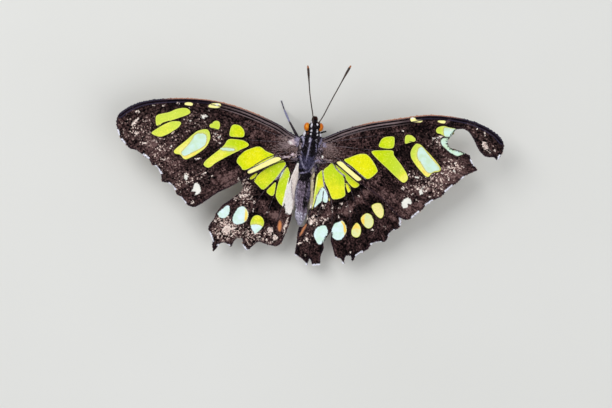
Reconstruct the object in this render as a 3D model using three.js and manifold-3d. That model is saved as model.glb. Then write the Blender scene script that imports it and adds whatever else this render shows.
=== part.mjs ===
// Malachite butterfly, life size, standing with its wings spread flat. Millimetres, +Z up, head towards +Y.
import * as THREE from "three";
import { mergeVertices } from "three/addons/utils/BufferGeometryUtils.js";
import Module from "manifold-3d";

const wasm = await Module();
wasm.setup();

// ---- driving dimensions ----
const BODY_X = 0.5;
const WING_THICKNESS = 0.5;
const WING_ROOT_THICKENING = 0.2;
const WING_GRID = 2.9;
const FOREWING_ROOT_Z = 7.9;
const HINDWING_ROOT_Z = 6.9;
const ROOT_OFFSET = 2.5;
const EYE_GAP = 0.22;
const FEMUR_RADIUS = 0.4;
const TIBIA_RADIUS = 0.29;
const TARSUS_RADIUS = 0.28;
const FOOT_Z = 0.17;
const ANTENNA_RADIUS = 0.27;
const CLUB_RADIUS = 0.5;

const group = new THREE.Group();

const colours = {
  hair: 0x2a2430,
  abdomen: 0x3b3348,
  eye: 0xe07a1e,
  horn: 0x221a1c,
  leg: 0x4a3436,
  wing: 0x4a2d29,
};

function material(colour) {
  return new THREE.MeshStandardMaterial({ color: colour, roughness: 0.8, metalness: 0 });
}

function add(name, geometry, colour) {
  const mesh = new THREE.Mesh(geometry, material(colour));
  mesh.name = name;
  group.add(mesh);
  return mesh;
}

// ---- solid helpers ----
function toManifold(geometry) {
  const plain = geometry.clone();
  plain.deleteAttribute("normal");
  plain.deleteAttribute("uv");
  const welded = mergeVertices(plain, 1e-4);
  return new wasm.Manifold(new wasm.Mesh({
    numProp: 3,
    vertProperties: new Float32Array(welded.attributes.position.array),
    triVerts: new Uint32Array(welded.index.array),
  }));
}

function toGeometry(solid) {
  const mesh = solid.getMesh();
  const geometry = new THREE.BufferGeometry();
  geometry.setAttribute("position", new THREE.BufferAttribute(mesh.vertProperties, 3));
  geometry.setIndex(new THREE.BufferAttribute(mesh.triVerts, 1));
  geometry.computeVertexNormals();
  return geometry;
}

// A closed skin through rings of points, capped at both ends with a fan.
function skinRings(rings) {
  const count = rings[0].length;
  const positions = rings.flat().flatMap((point) => [point.x, point.y, point.z]);
  const index = [];
  for (let ring = 0; ring < rings.length - 1; ring += 1) {
    for (let step = 0; step < count; step += 1) {
      const next = (step + 1) % count;
      const a = ring * count + step;
      const b = ring * count + next;
      const c = a + count;
      const d = b + count;
      index.push(a, b, d, a, d, c);
    }
  }
  [0, rings.length - 1].forEach((ring) => {
    const centre = new THREE.Vector3();
    rings[ring].forEach((point) => centre.addScaledVector(point, 1 / count));
    const middle = positions.length / 3;
    positions.push(centre.x, centre.y, centre.z);
    for (let step = 0; step < count; step += 1) {
      const a = ring * count + step;
      const b = ring * count + (step + 1) % count;
      index.push(...(ring === 0 ? [middle, b, a] : [middle, a, b]));
    }
  });
  const geometry = new THREE.BufferGeometry();
  geometry.setAttribute("position", new THREE.Float32BufferAttribute(positions, 3));
  geometry.setIndex(index);
  geometry.computeVertexNormals();
  return geometry;
}

// Body piece: oval sections [y, x, z, half width, half height] from tail to head.
function loftBody(sections, around) {
  return skinRings(sections.map(([y, x, z, halfWidth, halfHeight]) => {
    const ring = [];
    for (let step = 0; step < around; step += 1) {
      const turn = -2 * Math.PI * step / around;
      ring.push(new THREE.Vector3(x + halfWidth * Math.cos(turn), y, z + halfHeight * Math.sin(turn)));
    }
    return ring;
  }));
}

// Round limb: points [x, y, z, radius] joined by a smooth tube.
function limb(points, around, steps) {
  const path = new THREE.CatmullRomCurve3(
    points.map(([x, y, z]) => new THREE.Vector3(x, y, z)), false, "centripetal");
  const frames = path.computeFrenetFrames(steps, false);
  const rings = [];
  for (let step = 0; step <= steps; step += 1) {
    const along = step / steps;
    const centre = path.getPoint(along);
    const place = along * (points.length - 1);
    const low = Math.min(Math.floor(place), points.length - 2);
    const radius = THREE.MathUtils.lerp(points[low][3], points[low + 1][3], place - low);
    const tangent = path.getTangent(along);
    const side = frames.normals[step].clone();
    side.addScaledVector(tangent, -side.dot(tangent)).normalize();
    const up = new THREE.Vector3().crossVectors(tangent, side);
    const ring = [];
    for (let turn = 0; turn < around; turn += 1) {
      const angle = 2 * Math.PI * turn / around;
      ring.push(centre.clone()
        .addScaledVector(side, radius * Math.cos(angle))
        .addScaledVector(up, radius * Math.sin(angle)));
    }
    rings.push(ring);
  }
  return skinRings(rings);
}

function ball(centre, radii, grow = 0) {
  const geometry = new THREE.SphereGeometry(1, 16, 12);
  geometry.scale(radii[0] + grow, radii[1] + grow, radii[2] + grow);
  geometry.translate(...centre);
  return geometry;
}

function block(low, high) {
  const geometry = new THREE.BoxGeometry(high[0] - low[0], high[1] - low[1], high[2] - low[2]);
  geometry.translate((low[0] + high[0]) / 2, (low[1] + high[1]) / 2, (low[2] + high[2]) / 2);
  return geometry;
}

// ---- wings ----
function spanFromRoot(x) {
  return Math.max(0, Math.abs(x - BODY_X) - ROOT_OFFSET);
}

function forewingHeight(x, y) {
  const span = spanFromRoot(x);
  return FOREWING_ROOT_Z + 3.0 * (1 - Math.exp(-span / 13)) - 0.0006 * span * span + 0.035 * y;
}

function hindwingHeight(x, y) {
  const span = spanFromRoot(x);
  const drop = 0.12 * Math.max(0, -2 - y);
  return HINDWING_ROOT_Z + 2.3 * (1 - Math.exp(-span / 12)) - drop;
}

// A thin curved slab over a rectangle, on a regular grid.
function curvedSlab([x0, x1], [y0, y1], height) {
  const columns = Math.ceil((x1 - x0) / WING_GRID);
  const rows = Math.ceil((y1 - y0) / WING_GRID);
  const layer = (columns + 1) * (rows + 1);
  const positions = [];
  [1, -1].forEach((face) => {
    for (let row = 0; row <= rows; row += 1) {
      for (let column = 0; column <= columns; column += 1) {
        const x = x0 + (x1 - x0) * column / columns;
        const y = y0 + (y1 - y0) * row / rows;
        const thickness = WING_THICKNESS + WING_ROOT_THICKENING * Math.exp(-spanFromRoot(x) / 6);
        positions.push(x, y, height(x, y) + face * thickness / 2);
      }
    }
  });
  const index = [];
  const quad = (a, b, c, d) => index.push(a, b, c, a, c, d);
  for (let row = 0; row < rows; row += 1) {
    for (let column = 0; column < columns; column += 1) {
      const a = row * (columns + 1) + column;
      const d = a + columns + 1;
      quad(a, a + 1, d + 1, d);
      quad(layer + a, layer + d, layer + d + 1, layer + a + 1);
    }
  }
  for (let column = 0; column < columns; column += 1) {
    const back = rows * (columns + 1) + column;
    quad(column, layer + column, layer + column + 1, column + 1);
    quad(back, back + 1, layer + back + 1, layer + back);
  }
  for (let row = 0; row < rows; row += 1) {
    const left = row * (columns + 1);
    const right = left + columns;
    quad(left, left + columns + 1, layer + left + columns + 1, layer + left);
    quad(right, layer + right, layer + right + columns + 1, right + columns + 1);
  }
  const geometry = new THREE.BufferGeometry();
  geometry.setAttribute("position", new THREE.Float32BufferAttribute(positions, 3));
  geometry.setIndex(index);
  return geometry;
}

// Each run is a smooth edge; runs meet at the sharp vein ends.
function wingPrism(runs) {
  const shape = new THREE.Shape();
  shape.moveTo(...runs[0][0]);
  runs.forEach((run) => {
    const rest = run.slice(1);
    if (rest.length === 1) {
      shape.lineTo(...rest[0]);
    } else {
      shape.splineThru(rest.map(([x, y]) => new THREE.Vector2(x, y)));
    }
  });
  const geometry = new THREE.ExtrudeGeometry(shape, { depth: 16, bevelEnabled: false, curveSegments: 2 });
  return geometry;
}

function wing(runs, height) {
  const points = runs.flat();
  const xs = points.map(([x]) => x);
  const ys = points.map(([, y]) => y);
  const slab = curvedSlab(
    [Math.min(...xs) - 1, Math.max(...xs) + 1],
    [Math.min(...ys) - 1, Math.max(...ys) + 1],
    height);
  return toManifold(slab).intersect(toManifold(wingPrism(runs)));
}

const forewingLeftEdge = [
  [[-2.2, 5.9], [-4.7, 6.7], [-8, 8.4], [-14.7, 10.5], [-20.7, 11.7], [-26, 12.1], [-32, 11.7],
    [-38, 10.65], [-42, 9.5], [-45.3, 7.6], [-47.1, 5.9], [-47.6, 4.1], [-47, 1.7]],
  [[-47, 1.7], [-46.1, 0], [-44.8, -1.2], [-43.3, -2.3]],
  [[-43.3, -2.3], [-42, -2.4], [-40.7, -3], [-39.4, -3.9]],
  [[-39.4, -3.9], [-38.6, -4.1], [-37.5, -5.5]],
  [[-37.5, -5.5], [-36.2, -5.9], [-35.2, -7.1], [-34.6, -9.3]],
  [[-34.6, -9.3], [-33.2, -9.4], [-31.7, -9.9], [-30.6, -11.9]],
  [[-30.6, -11.9], [-29.2, -12.6], [-27.7, -14.1]],
  [[-27.7, -14.1], [-26.4, -14.5], [-25.2, -14.1], [-22.9, -12.2], [-20.8, -10.3], [-18, -8.5],
    [-16, -7], [-13.3, -4.9], [-9.8, -2.6], [-5.6, 0.1], [-2.5, 1.2]],
  [[-2.5, 1.2], [-2.2, 5.9]],
];

const forewingRightEdge = [
  [[3.2, 6.4], [5.3, 7.6], [8.4, 9.3], [14, 11.6], [21.4, 13.7], [28, 15.4], [34, 15.8], [40, 15.2],
    [44.8, 13.4], [47.1, 11.6], [47.6, 9.7], [47, 7.6], [46.3, 6.7]],
  [[46.3, 6.7], [45.5, 7.3], [44.3, 7.1], [43.2, 7.3]],
  [[43.2, 7.3], [42.1, 8.1], [41, 9.5], [39.9, 11.2], [38.5, 12.7], [37, 13.2], [35.4, 12.8]],
  [[35.4, 12.8], [34.7, 11.5], [33.9, 10.3]],
  [[33.9, 10.3], [33.7, 9.4], [34.5, 8.1], [36.5, 7.8], [39.6, 6.9]],
  [[39.6, 6.9], [40.3, 5.3], [41.9, 3.6]],
  [[41.9, 3.6], [40.1, 2.5], [39.1, 1.9]],
  [[39.1, 1.9], [38.2, 0.9], [37, -0.4]],
  [[37, -0.4], [35.9, -1.4], [34.6, -3]],
  [[34.6, -3], [33.7, -4.1], [32.2, -5.1]],
  [[32.2, -5.1], [31, -5.9], [29.8, -7.7]],
  [[29.8, -7.7], [28.7, -8.9], [27.4, -10.2]],
  [[27.4, -10.2], [26.2, -10.8], [24.8, -10.5], [22.7, -9.2], [20, -6.8], [16, -4.5], [12, -2.4],
    [7, 0.6], [3.5, 1.3]],
  [[3.5, 1.3], [3.2, 6.4]],
];

const hindwingLeftEdge = [
  [[-2.4, 0.2], [-6.5, 1.2], [-12, -1.4], [-14.8, -4.6], [-15.4, -6.4], [-14.7, -8.2]],
  [[-14.7, -8.2], [-15, -9.2], [-17.4, -11.6], [-19.3, -13.3], [-20.4, -15.3]],
  [[-20.4, -15.3], [-20.8, -16.7], [-21.7, -18.3], [-21.8, -19.4]],
  [[-21.8, -19.4], [-21.1, -20.7], [-20.5, -22], [-20.3, -23.4], [-20, -24.8]],
  [[-20, -24.8], [-19.4, -24], [-18.7, -22.7], [-17.4, -22.2], [-15.7, -23]],
  [[-15.7, -23], [-15.2, -21.5], [-14.2, -20.6], [-13.1, -20.8], [-12.9, -22.2], [-11.9, -23.4]],
  [[-11.9, -23.4], [-10.9, -22.6], [-9.9, -21.4], [-8.9, -20.8]],
  [[-8.9, -20.8], [-7.5, -21.2], [-4.9, -21.4], [-3.6, -20.5], [-2.8, -17.7], [-2, -14.4],
    [-2, -11.5], [-2.2, -8], [-1.9, -4.6], [-2.2, -1.6]],
  [[-2.2, -1.6], [-2.4, 0.2]],
];

const hindwingRightEdge = [
  [[3.4, 0.2], [8, 1.8], [14, 0.4], [19, -3], [22.6, -7], [24.5, -10.2]],
  [[24.5, -10.2], [25.1, -11.4], [24.8, -12.7], [23.9, -13.6]],
  [[23.9, -13.6], [23, -13.9], [22.4, -15], [22.1, -16.4], [21.4, -17]],
  [[21.4, -17], [20, -17], [18.6, -17.8], [17.7, -19.3], [16.7, -20]],
  [[16.7, -20], [15.6, -20.6], [14.9, -21.7], [14.4, -22.7]],
  [[14.4, -22.7], [14, -21.5], [13.4, -21.3], [12.6, -21.6], [12.4, -22.6], [12.4, -23.7]],
  [[12.4, -23.7], [11.8, -22.7], [11.1, -22.2], [10.2, -22.4]],
  [[10.2, -22.4], [9.3, -20.2], [8.5, -18.3], [8.5, -16.7]],
  [[8.5, -16.7], [8.1, -16.2], [7.5, -17.4], [6.6, -19]],
  [[6.6, -19], [7, -20.6], [6.5, -22.3], [6.6, -24.6]],
  [[6.6, -24.6], [4.8, -25]],
  [[4.8, -25], [4.3, -23.9], [3.8, -23.4], [3.6, -24.3], [3.4, -25.3]],
  [[3.4, -25.3], [2.8, -24.3], [1.6, -23.4], [0.1, -22.9]],
  [[0.1, -22.9], [0.2, -19.5], [0.1, -17.6], [0.3, -16]],
  [[0.3, -16], [1.3, -15.7], [2, -14.2], [2.1, -11.5], [2.3, -8], [2, -4.6], [3, -1.6]],
  [[3, -1.6], [3.4, 0.2]],
];

const wings = {
  forewing_left: wing(forewingLeftEdge, forewingHeight),
  forewing_right: wing(forewingRightEdge, forewingHeight),
  hindwing_left: wing(hindwingLeftEdge, hindwingHeight),
  hindwing_right: wing(hindwingRightEdge, hindwingHeight),
};
Object.entries(wings).forEach(([name, solid]) => add(name, toGeometry(solid), colours.wing));

// ---- body ----
const thorax = loftBody([
  [-2.5, 0.35, 6.3, 0.5, 0.6],
  [-2.2, 0.38, 6.35, 1.1, 1.25],
  [-1.2, 0.43, 6.4, 1.7, 1.85],
  [0.4, BODY_X, 6.5, 2.15, 2.2],
  [2.4, BODY_X, 6.6, 2.35, 2.35],
  [4.2, BODY_X, 6.6, 2.25, 2.25],
  [5.7, 0.55, 6.5, 1.9, 1.9],
  [6.6, 0.6, 6.45, 1.4, 1.4],
  [6.95, 0.62, 6.4, 0.8, 0.8],
], 20);
add("thorax", thorax, colours.hair);

const abdomen = loftBody([
  [-15.5, 0.35, 4.9, 0.35, 0.35],
  [-15.1, 0.35, 4.95, 0.75, 0.8],
  [-14, 0.38, 5.1, 1.1, 1.15],
  [-12, 0.25, 5.35, 1.4, 1.5],
  [-9.6, 0.1, 5.7, 1.65, 1.7],
  [-7, 0.05, 6, 1.7, 1.75],
  [-4.8, 0.1, 6.2, 1.5, 1.6],
  [-3.3, 0.25, 6.3, 1.15, 1.2],
  [-2.8, 0.33, 6.3, 0.7, 0.75],
], 18);
add("abdomen", abdomen, colours.abdomen);

const eyes = {
  left: { centre: [-1, 8.8, 6.75], radii: [0.78, 1.08, 1.15] },
  right: { centre: [2.28, 9.1, 6.6], radii: [0.78, 1.05, 1.15] },
};
let head = toManifold(loftBody([
  [7.2, 0.62, 6.4, 0.85, 0.85],
  [7.5, 0.63, 6.45, 1.4, 1.3],
  [8.3, 0.65, 6.5, 1.75, 1.55],
  [9.2, 0.66, 6.5, 1.7, 1.5],
  [9.8, 0.67, 6.45, 1.25, 1.2],
  [10.1, 0.67, 6.4, 0.7, 0.7],
], 20));
Object.values(eyes).forEach((eye) => {
  head = head.subtract(toManifold(ball(eye.centre, eye.radii, EYE_GAP)));
});
add("head", toGeometry(head), colours.hair);
Object.entries(eyes).forEach(([side, eye]) => {
  add(`eye_${side}`, ball(eye.centre, eye.radii), colours.eye);
});

[["left", -1], ["right", 1]].forEach(([side, sign]) => {
  add(`palp_${side}`, limb([
    [0.67 + 0.5 * sign, 10.35, 6.1, 0.3],
    [0.67 + 0.5 * sign, 10.7, 6.3, 0.42],
    [0.67 + 0.4 * sign, 11.15, 6.7, 0.36],
    [0.67 + 0.32 * sign, 11.5, 7.1, 0.26],
  ], 10, 6), colours.hair);
});

// Coiled tongue under the face.
const coil = [];
for (let step = 0; step <= 12; step += 1) {
  const turn = step / 12;
  const angle = 2 * Math.PI * (1.15 * turn + 0.2);
  const radius = 0.98 - 0.66 * turn;
  coil.push([0.67, 10.35 + radius * Math.cos(angle), 4.3 + radius * Math.sin(angle), 0.26]);
}
add("proboscis", limb(coil, 8, 24), colours.horn);

add("antenna_left", limb([
  [0.35, 10.25, 7.75, ANTENNA_RADIUS],
  [0, 12, 8.3, ANTENNA_RADIUS],
  [-0.75, 14.6, 9, ANTENNA_RADIUS],
  [-1.35, 16.9, 9.5, ANTENNA_RADIUS],
  [-1.85, 19.3, 9.9, ANTENNA_RADIUS],
  [-2.2, 21.1, 10.2, 0.38],
  [-2.5, 22.6, 10.4, CLUB_RADIUS],
  [-2.8, 23.7, 10.5, 0.26],
], 8, 21), colours.horn);
add("antenna_right", limb([
  [1.75, 10.1, 7.7, ANTENNA_RADIUS],
  [2.6, 11.8, 8.2, ANTENNA_RADIUS],
  [3.4, 14, 8.8, ANTENNA_RADIUS],
  [4.3, 16.4, 9.4, ANTENNA_RADIUS],
  [5.3, 18.9, 9.9, ANTENNA_RADIUS],
  [6.2, 21.2, 10.3, 0.38],
  [7.1, 23.5, 10.5, CLUB_RADIUS],
  [7.8, 25.1, 10.6, 0.26],
], 8, 21), colours.horn);

// ---- legs ----
// Walking leg: hip, knee, ankle and foot centres; the foot's underside is cut flat at the floor.
function walkingLeg(hip, knee, ankle, toe) {
  const mix = (a, b, part) => a.map((value, axis) => value + (b[axis] - value) * part);
  const parts = [
    [...hip, FEMUR_RADIUS],
    [...mix(hip, knee, 0.45), FEMUR_RADIUS],
    [...mix(hip, knee, 0.94), 0.33],
    [...mix(knee, ankle, 0.06), 0.31],
    [...mix(knee, ankle, 0.5), TIBIA_RADIUS],
    [...mix(knee, ankle, 0.94), TIBIA_RADIUS],
    [...mix(ankle, toe, 0.12), TARSUS_RADIUS],
    [...mix(ankle, toe, 0.6), TARSUS_RADIUS],
    [...toe, TARSUS_RADIUS],
  ];
  const below = block([-20, -20, -3], [20, 20, 0]);
  return toGeometry(toManifold(limb(parts, 8, 24)).subtract(toManifold(below)));
}

add("midleg_left", walkingLeg(
  [-1.75, 4.3, 4.7], [-5.6, 9.7, 6.3], [-7.2, 12.4, FOOT_Z + 0.25], [-8.2, 14.5, FOOT_Z]), colours.leg);
add("midleg_right", walkingLeg(
  [2.75, 4.3, 4.7], [5.6, 6.6, 6.2], [7.4, 7, FOOT_Z + 0.25], [9.4, 7.6, FOOT_Z]), colours.leg);
add("hindleg_left", walkingLeg(
  [-1.75, 0.9, 4.7], [-5.3, -3.2, 5.6], [-6.6, -6.6, FOOT_Z + 0.25], [-7.6, -8.9, FOOT_Z]), colours.leg);
add("hindleg_right", walkingLeg(
  [2.75, 0.9, 4.7], [6.3, -3.2, 5.6], [7.6, -6.6, FOOT_Z + 0.25], [8.6, -8.9, FOOT_Z]), colours.leg);

// Short brush-like forelegs held against the breast; the right one shows beside the eye.
add("foreleg_left", limb([
  [-0.55, 5.7, 4.4, 0.32],
  [-0.75, 7, 4.3, 0.34],
  [-0.8, 8.3, 4.5, 0.3],
  [-0.5, 9.3, 4.9, 0.26],
], 8, 8), colours.leg);
add("foreleg_right", limb([
  [1.65, 5.7, 4.4, 0.32],
  [2.2, 6.9, 4.6, 0.34],
  [2.9, 7.8, 4.95, 0.3],
  [3.85, 8.35, 5.3, 0.26],
], 8, 8), colours.leg);

export default group;
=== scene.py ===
"""Malachite butterfly, life size, standing with its wings spread flat."""
import math

import bmesh
import bpy
import numpy as np
from mathutils import Matrix, Vector
from mathutils.geometry import delaunay_2d_cdt


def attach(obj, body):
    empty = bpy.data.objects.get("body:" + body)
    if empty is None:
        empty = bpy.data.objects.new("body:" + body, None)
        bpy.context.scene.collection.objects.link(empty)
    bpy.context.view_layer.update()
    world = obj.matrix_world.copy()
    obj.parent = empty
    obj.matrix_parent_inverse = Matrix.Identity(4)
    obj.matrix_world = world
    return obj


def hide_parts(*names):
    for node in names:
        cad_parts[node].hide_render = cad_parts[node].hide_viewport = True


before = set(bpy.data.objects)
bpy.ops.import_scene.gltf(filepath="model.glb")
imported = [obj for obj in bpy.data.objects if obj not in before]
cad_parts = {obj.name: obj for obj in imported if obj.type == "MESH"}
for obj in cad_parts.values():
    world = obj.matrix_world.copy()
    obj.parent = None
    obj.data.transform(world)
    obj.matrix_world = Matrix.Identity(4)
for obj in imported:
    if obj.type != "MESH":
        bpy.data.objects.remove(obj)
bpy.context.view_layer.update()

MM = 0.001
RNG = np.random.default_rng(7)

# ---- driving dimensions, millimetres ----
BODY_X = 0.5
HEAD_X = 0.67
ROOT_OFFSET = 2.5
FOREWING_ROOT_Z = 7.9
HINDWING_ROOT_Z = 6.9
MEMBRANE = 0.1
MEMBRANE_STEP = 0.42
VEIN_RISE = 0.07
COAT_DEPTH = 0.22
SCALE_ROW = 0.27
SCALE_PITCH = 0.3
FRINGE_STEP = 0.075
FRINGE_HALF_WIDTH = 0.05
WHITE_FRINGE = 0.33
HINDWING_THREAD = 0.2
FOREWING_THREAD = 0.15
MARK_REACH = 1.0
RINGS_FROM = -3.0
RING_PITCH = 1.55
HEAD_FROM = 6.9
WAIST_Y = -2.6
HAIR_SINK = 0.04
FLOOR_CLEAR = 0.165
COAT_PATCH = 0.0015
VIEW_WIDTH = 150.6
VIEW_TURN = 7.5
VIEW_CENTRE = (1.24, -10.16)
CAMERA_HEIGHT = 700.0
WING_HEIGHT = 9.5


# ---- small geometry helpers ----
def smooth_loop(points, cuts=4):
    """Closed Catmull-Rom curve through the points."""
    p = np.array(points, float)
    before, after, later = np.roll(p, 1, 0), np.roll(p, -1, 0), np.roll(p, -2, 0)
    rows = []
    for t in np.arange(cuts) / cuts:
        rows.append(0.5 * (2 * p + (after - before) * t
                           + (2 * before - 5 * p + 4 * after - later) * t ** 2
                           + (3 * p - before - 3 * after + later) * t ** 3))
    return np.stack(rows, 1).reshape(-1, 2)


def smooth_line(points, cuts=6):
    """Open Catmull-Rom curve through points of any dimension."""
    p = np.array(points, float)
    p = np.vstack([2 * p[0] - p[1], p, 2 * p[-1] - p[-2]])
    rows = []
    for i in range(1, len(p) - 2):
        for t in np.arange(cuts) / cuts:
            rows.append(0.5 * (2 * p[i] + (p[i + 1] - p[i - 1]) * t
                               + (2 * p[i - 1] - 5 * p[i] + 4 * p[i + 1] - p[i + 2]) * t ** 2
                               + (3 * p[i] - p[i - 1] - 3 * p[i + 1] + p[i + 2]) * t ** 3))
    rows.append(p[-2])
    return np.array(rows)


def line_distance(xy, line):
    """Distance from each point to an open line."""
    best = np.full(len(xy), 1e9)
    for a, b in zip(line[:-1], line[1:]):
        ab = b - a
        t = np.clip(((xy - a) @ ab) / max(ab @ ab, 1e-12), 0, 1)
        best = np.minimum(best, np.linalg.norm(xy - a - t[:, None] * ab, axis=1))
    return best


def loop_inside(xy, loop):
    """Signed distance to a closed outline, positive inside."""
    closed = np.vstack([loop, loop[:1]])
    inside = np.zeros(len(xy), bool)
    for a, b in zip(closed[:-1], closed[1:]):
        if a[1] == b[1]:
            continue
        crosses = (a[1] > xy[:, 1]) != (b[1] > xy[:, 1])
        at = a[0] + (xy[:, 1] - a[1]) * (b[0] - a[0]) / (b[1] - a[1])
        inside ^= crosses & (xy[:, 0] < at)
    distance = line_distance(xy, closed)
    return np.where(inside, distance, -distance)


def near_only(xy, lines, measure, better, far):
    """Best measure over several lines, each worked out only for the points close to its box."""
    best = np.full(len(xy), far)
    for line in lines:
        near = np.all((xy > line.min(0) - MARK_REACH) & (xy < line.max(0) + MARK_REACH), axis=1)
        if near.any():
            best[near] = better(best[near], measure(xy[near], line))
    return best


def threads(xy, lines):
    """How far each point is inside any of several narrow lines, each a half width and its points."""
    best = np.full(len(xy), -1.0)
    for half, line in lines:
        best = np.maximum(best, half - line_distance(xy, line))
    return best


def run_along(line):
    """Distance along a line to each of its points."""
    return np.concatenate([[0], np.cumsum(np.linalg.norm(np.diff(line, axis=0), axis=1))])


def between(line, stops, at):
    """Points on a line at the values of at, where stops are the values at its own points."""
    return np.column_stack([np.interp(at, stops, column) for column in line.T])


def ramp(value, start, width):
    """0 up to start, then rising to 1 over the width."""
    return np.clip((value - start) / width, 0, 1)


def repeated(faces, corners, count):
    """Triangles of one small shape, for a whole row of copies with that many corners each."""
    return ((np.arange(count) * corners)[:, None, None] + np.array(faces)).reshape(-1, 3)


def oval(cx, cy, rx, ry, turn=0, count=10):
    """Points round an oval turned by degrees."""
    angle = np.arange(count) * math.tau / count
    c, s = math.cos(math.radians(turn)), math.sin(math.radians(turn))
    x, y = rx * np.cos(angle), ry * np.sin(angle)
    return [(cx + c * a - s * b, cy + s * a + c * b) for a, b in zip(x, y)]


def outline(mark):
    """Smooth closed outline of a marking given as points or as an oval."""
    return smooth_loop(mark if isinstance(mark, list) else oval(*mark))


# ---- wing surfaces ----
def span(x):
    return np.maximum(0, np.abs(x - BODY_X) - ROOT_OFFSET)


def forewing_height(x, y):
    s = span(x)
    return FOREWING_ROOT_Z + 3.0 * (1 - np.exp(-s / 13)) - 0.0006 * s ** 2 + 0.035 * y


def hindwing_height(x, y):
    s = span(x)
    return HINDWING_ROOT_Z + 2.3 * (1 - np.exp(-s / 12)) - 0.12 * np.maximum(0, -2 - y)


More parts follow.
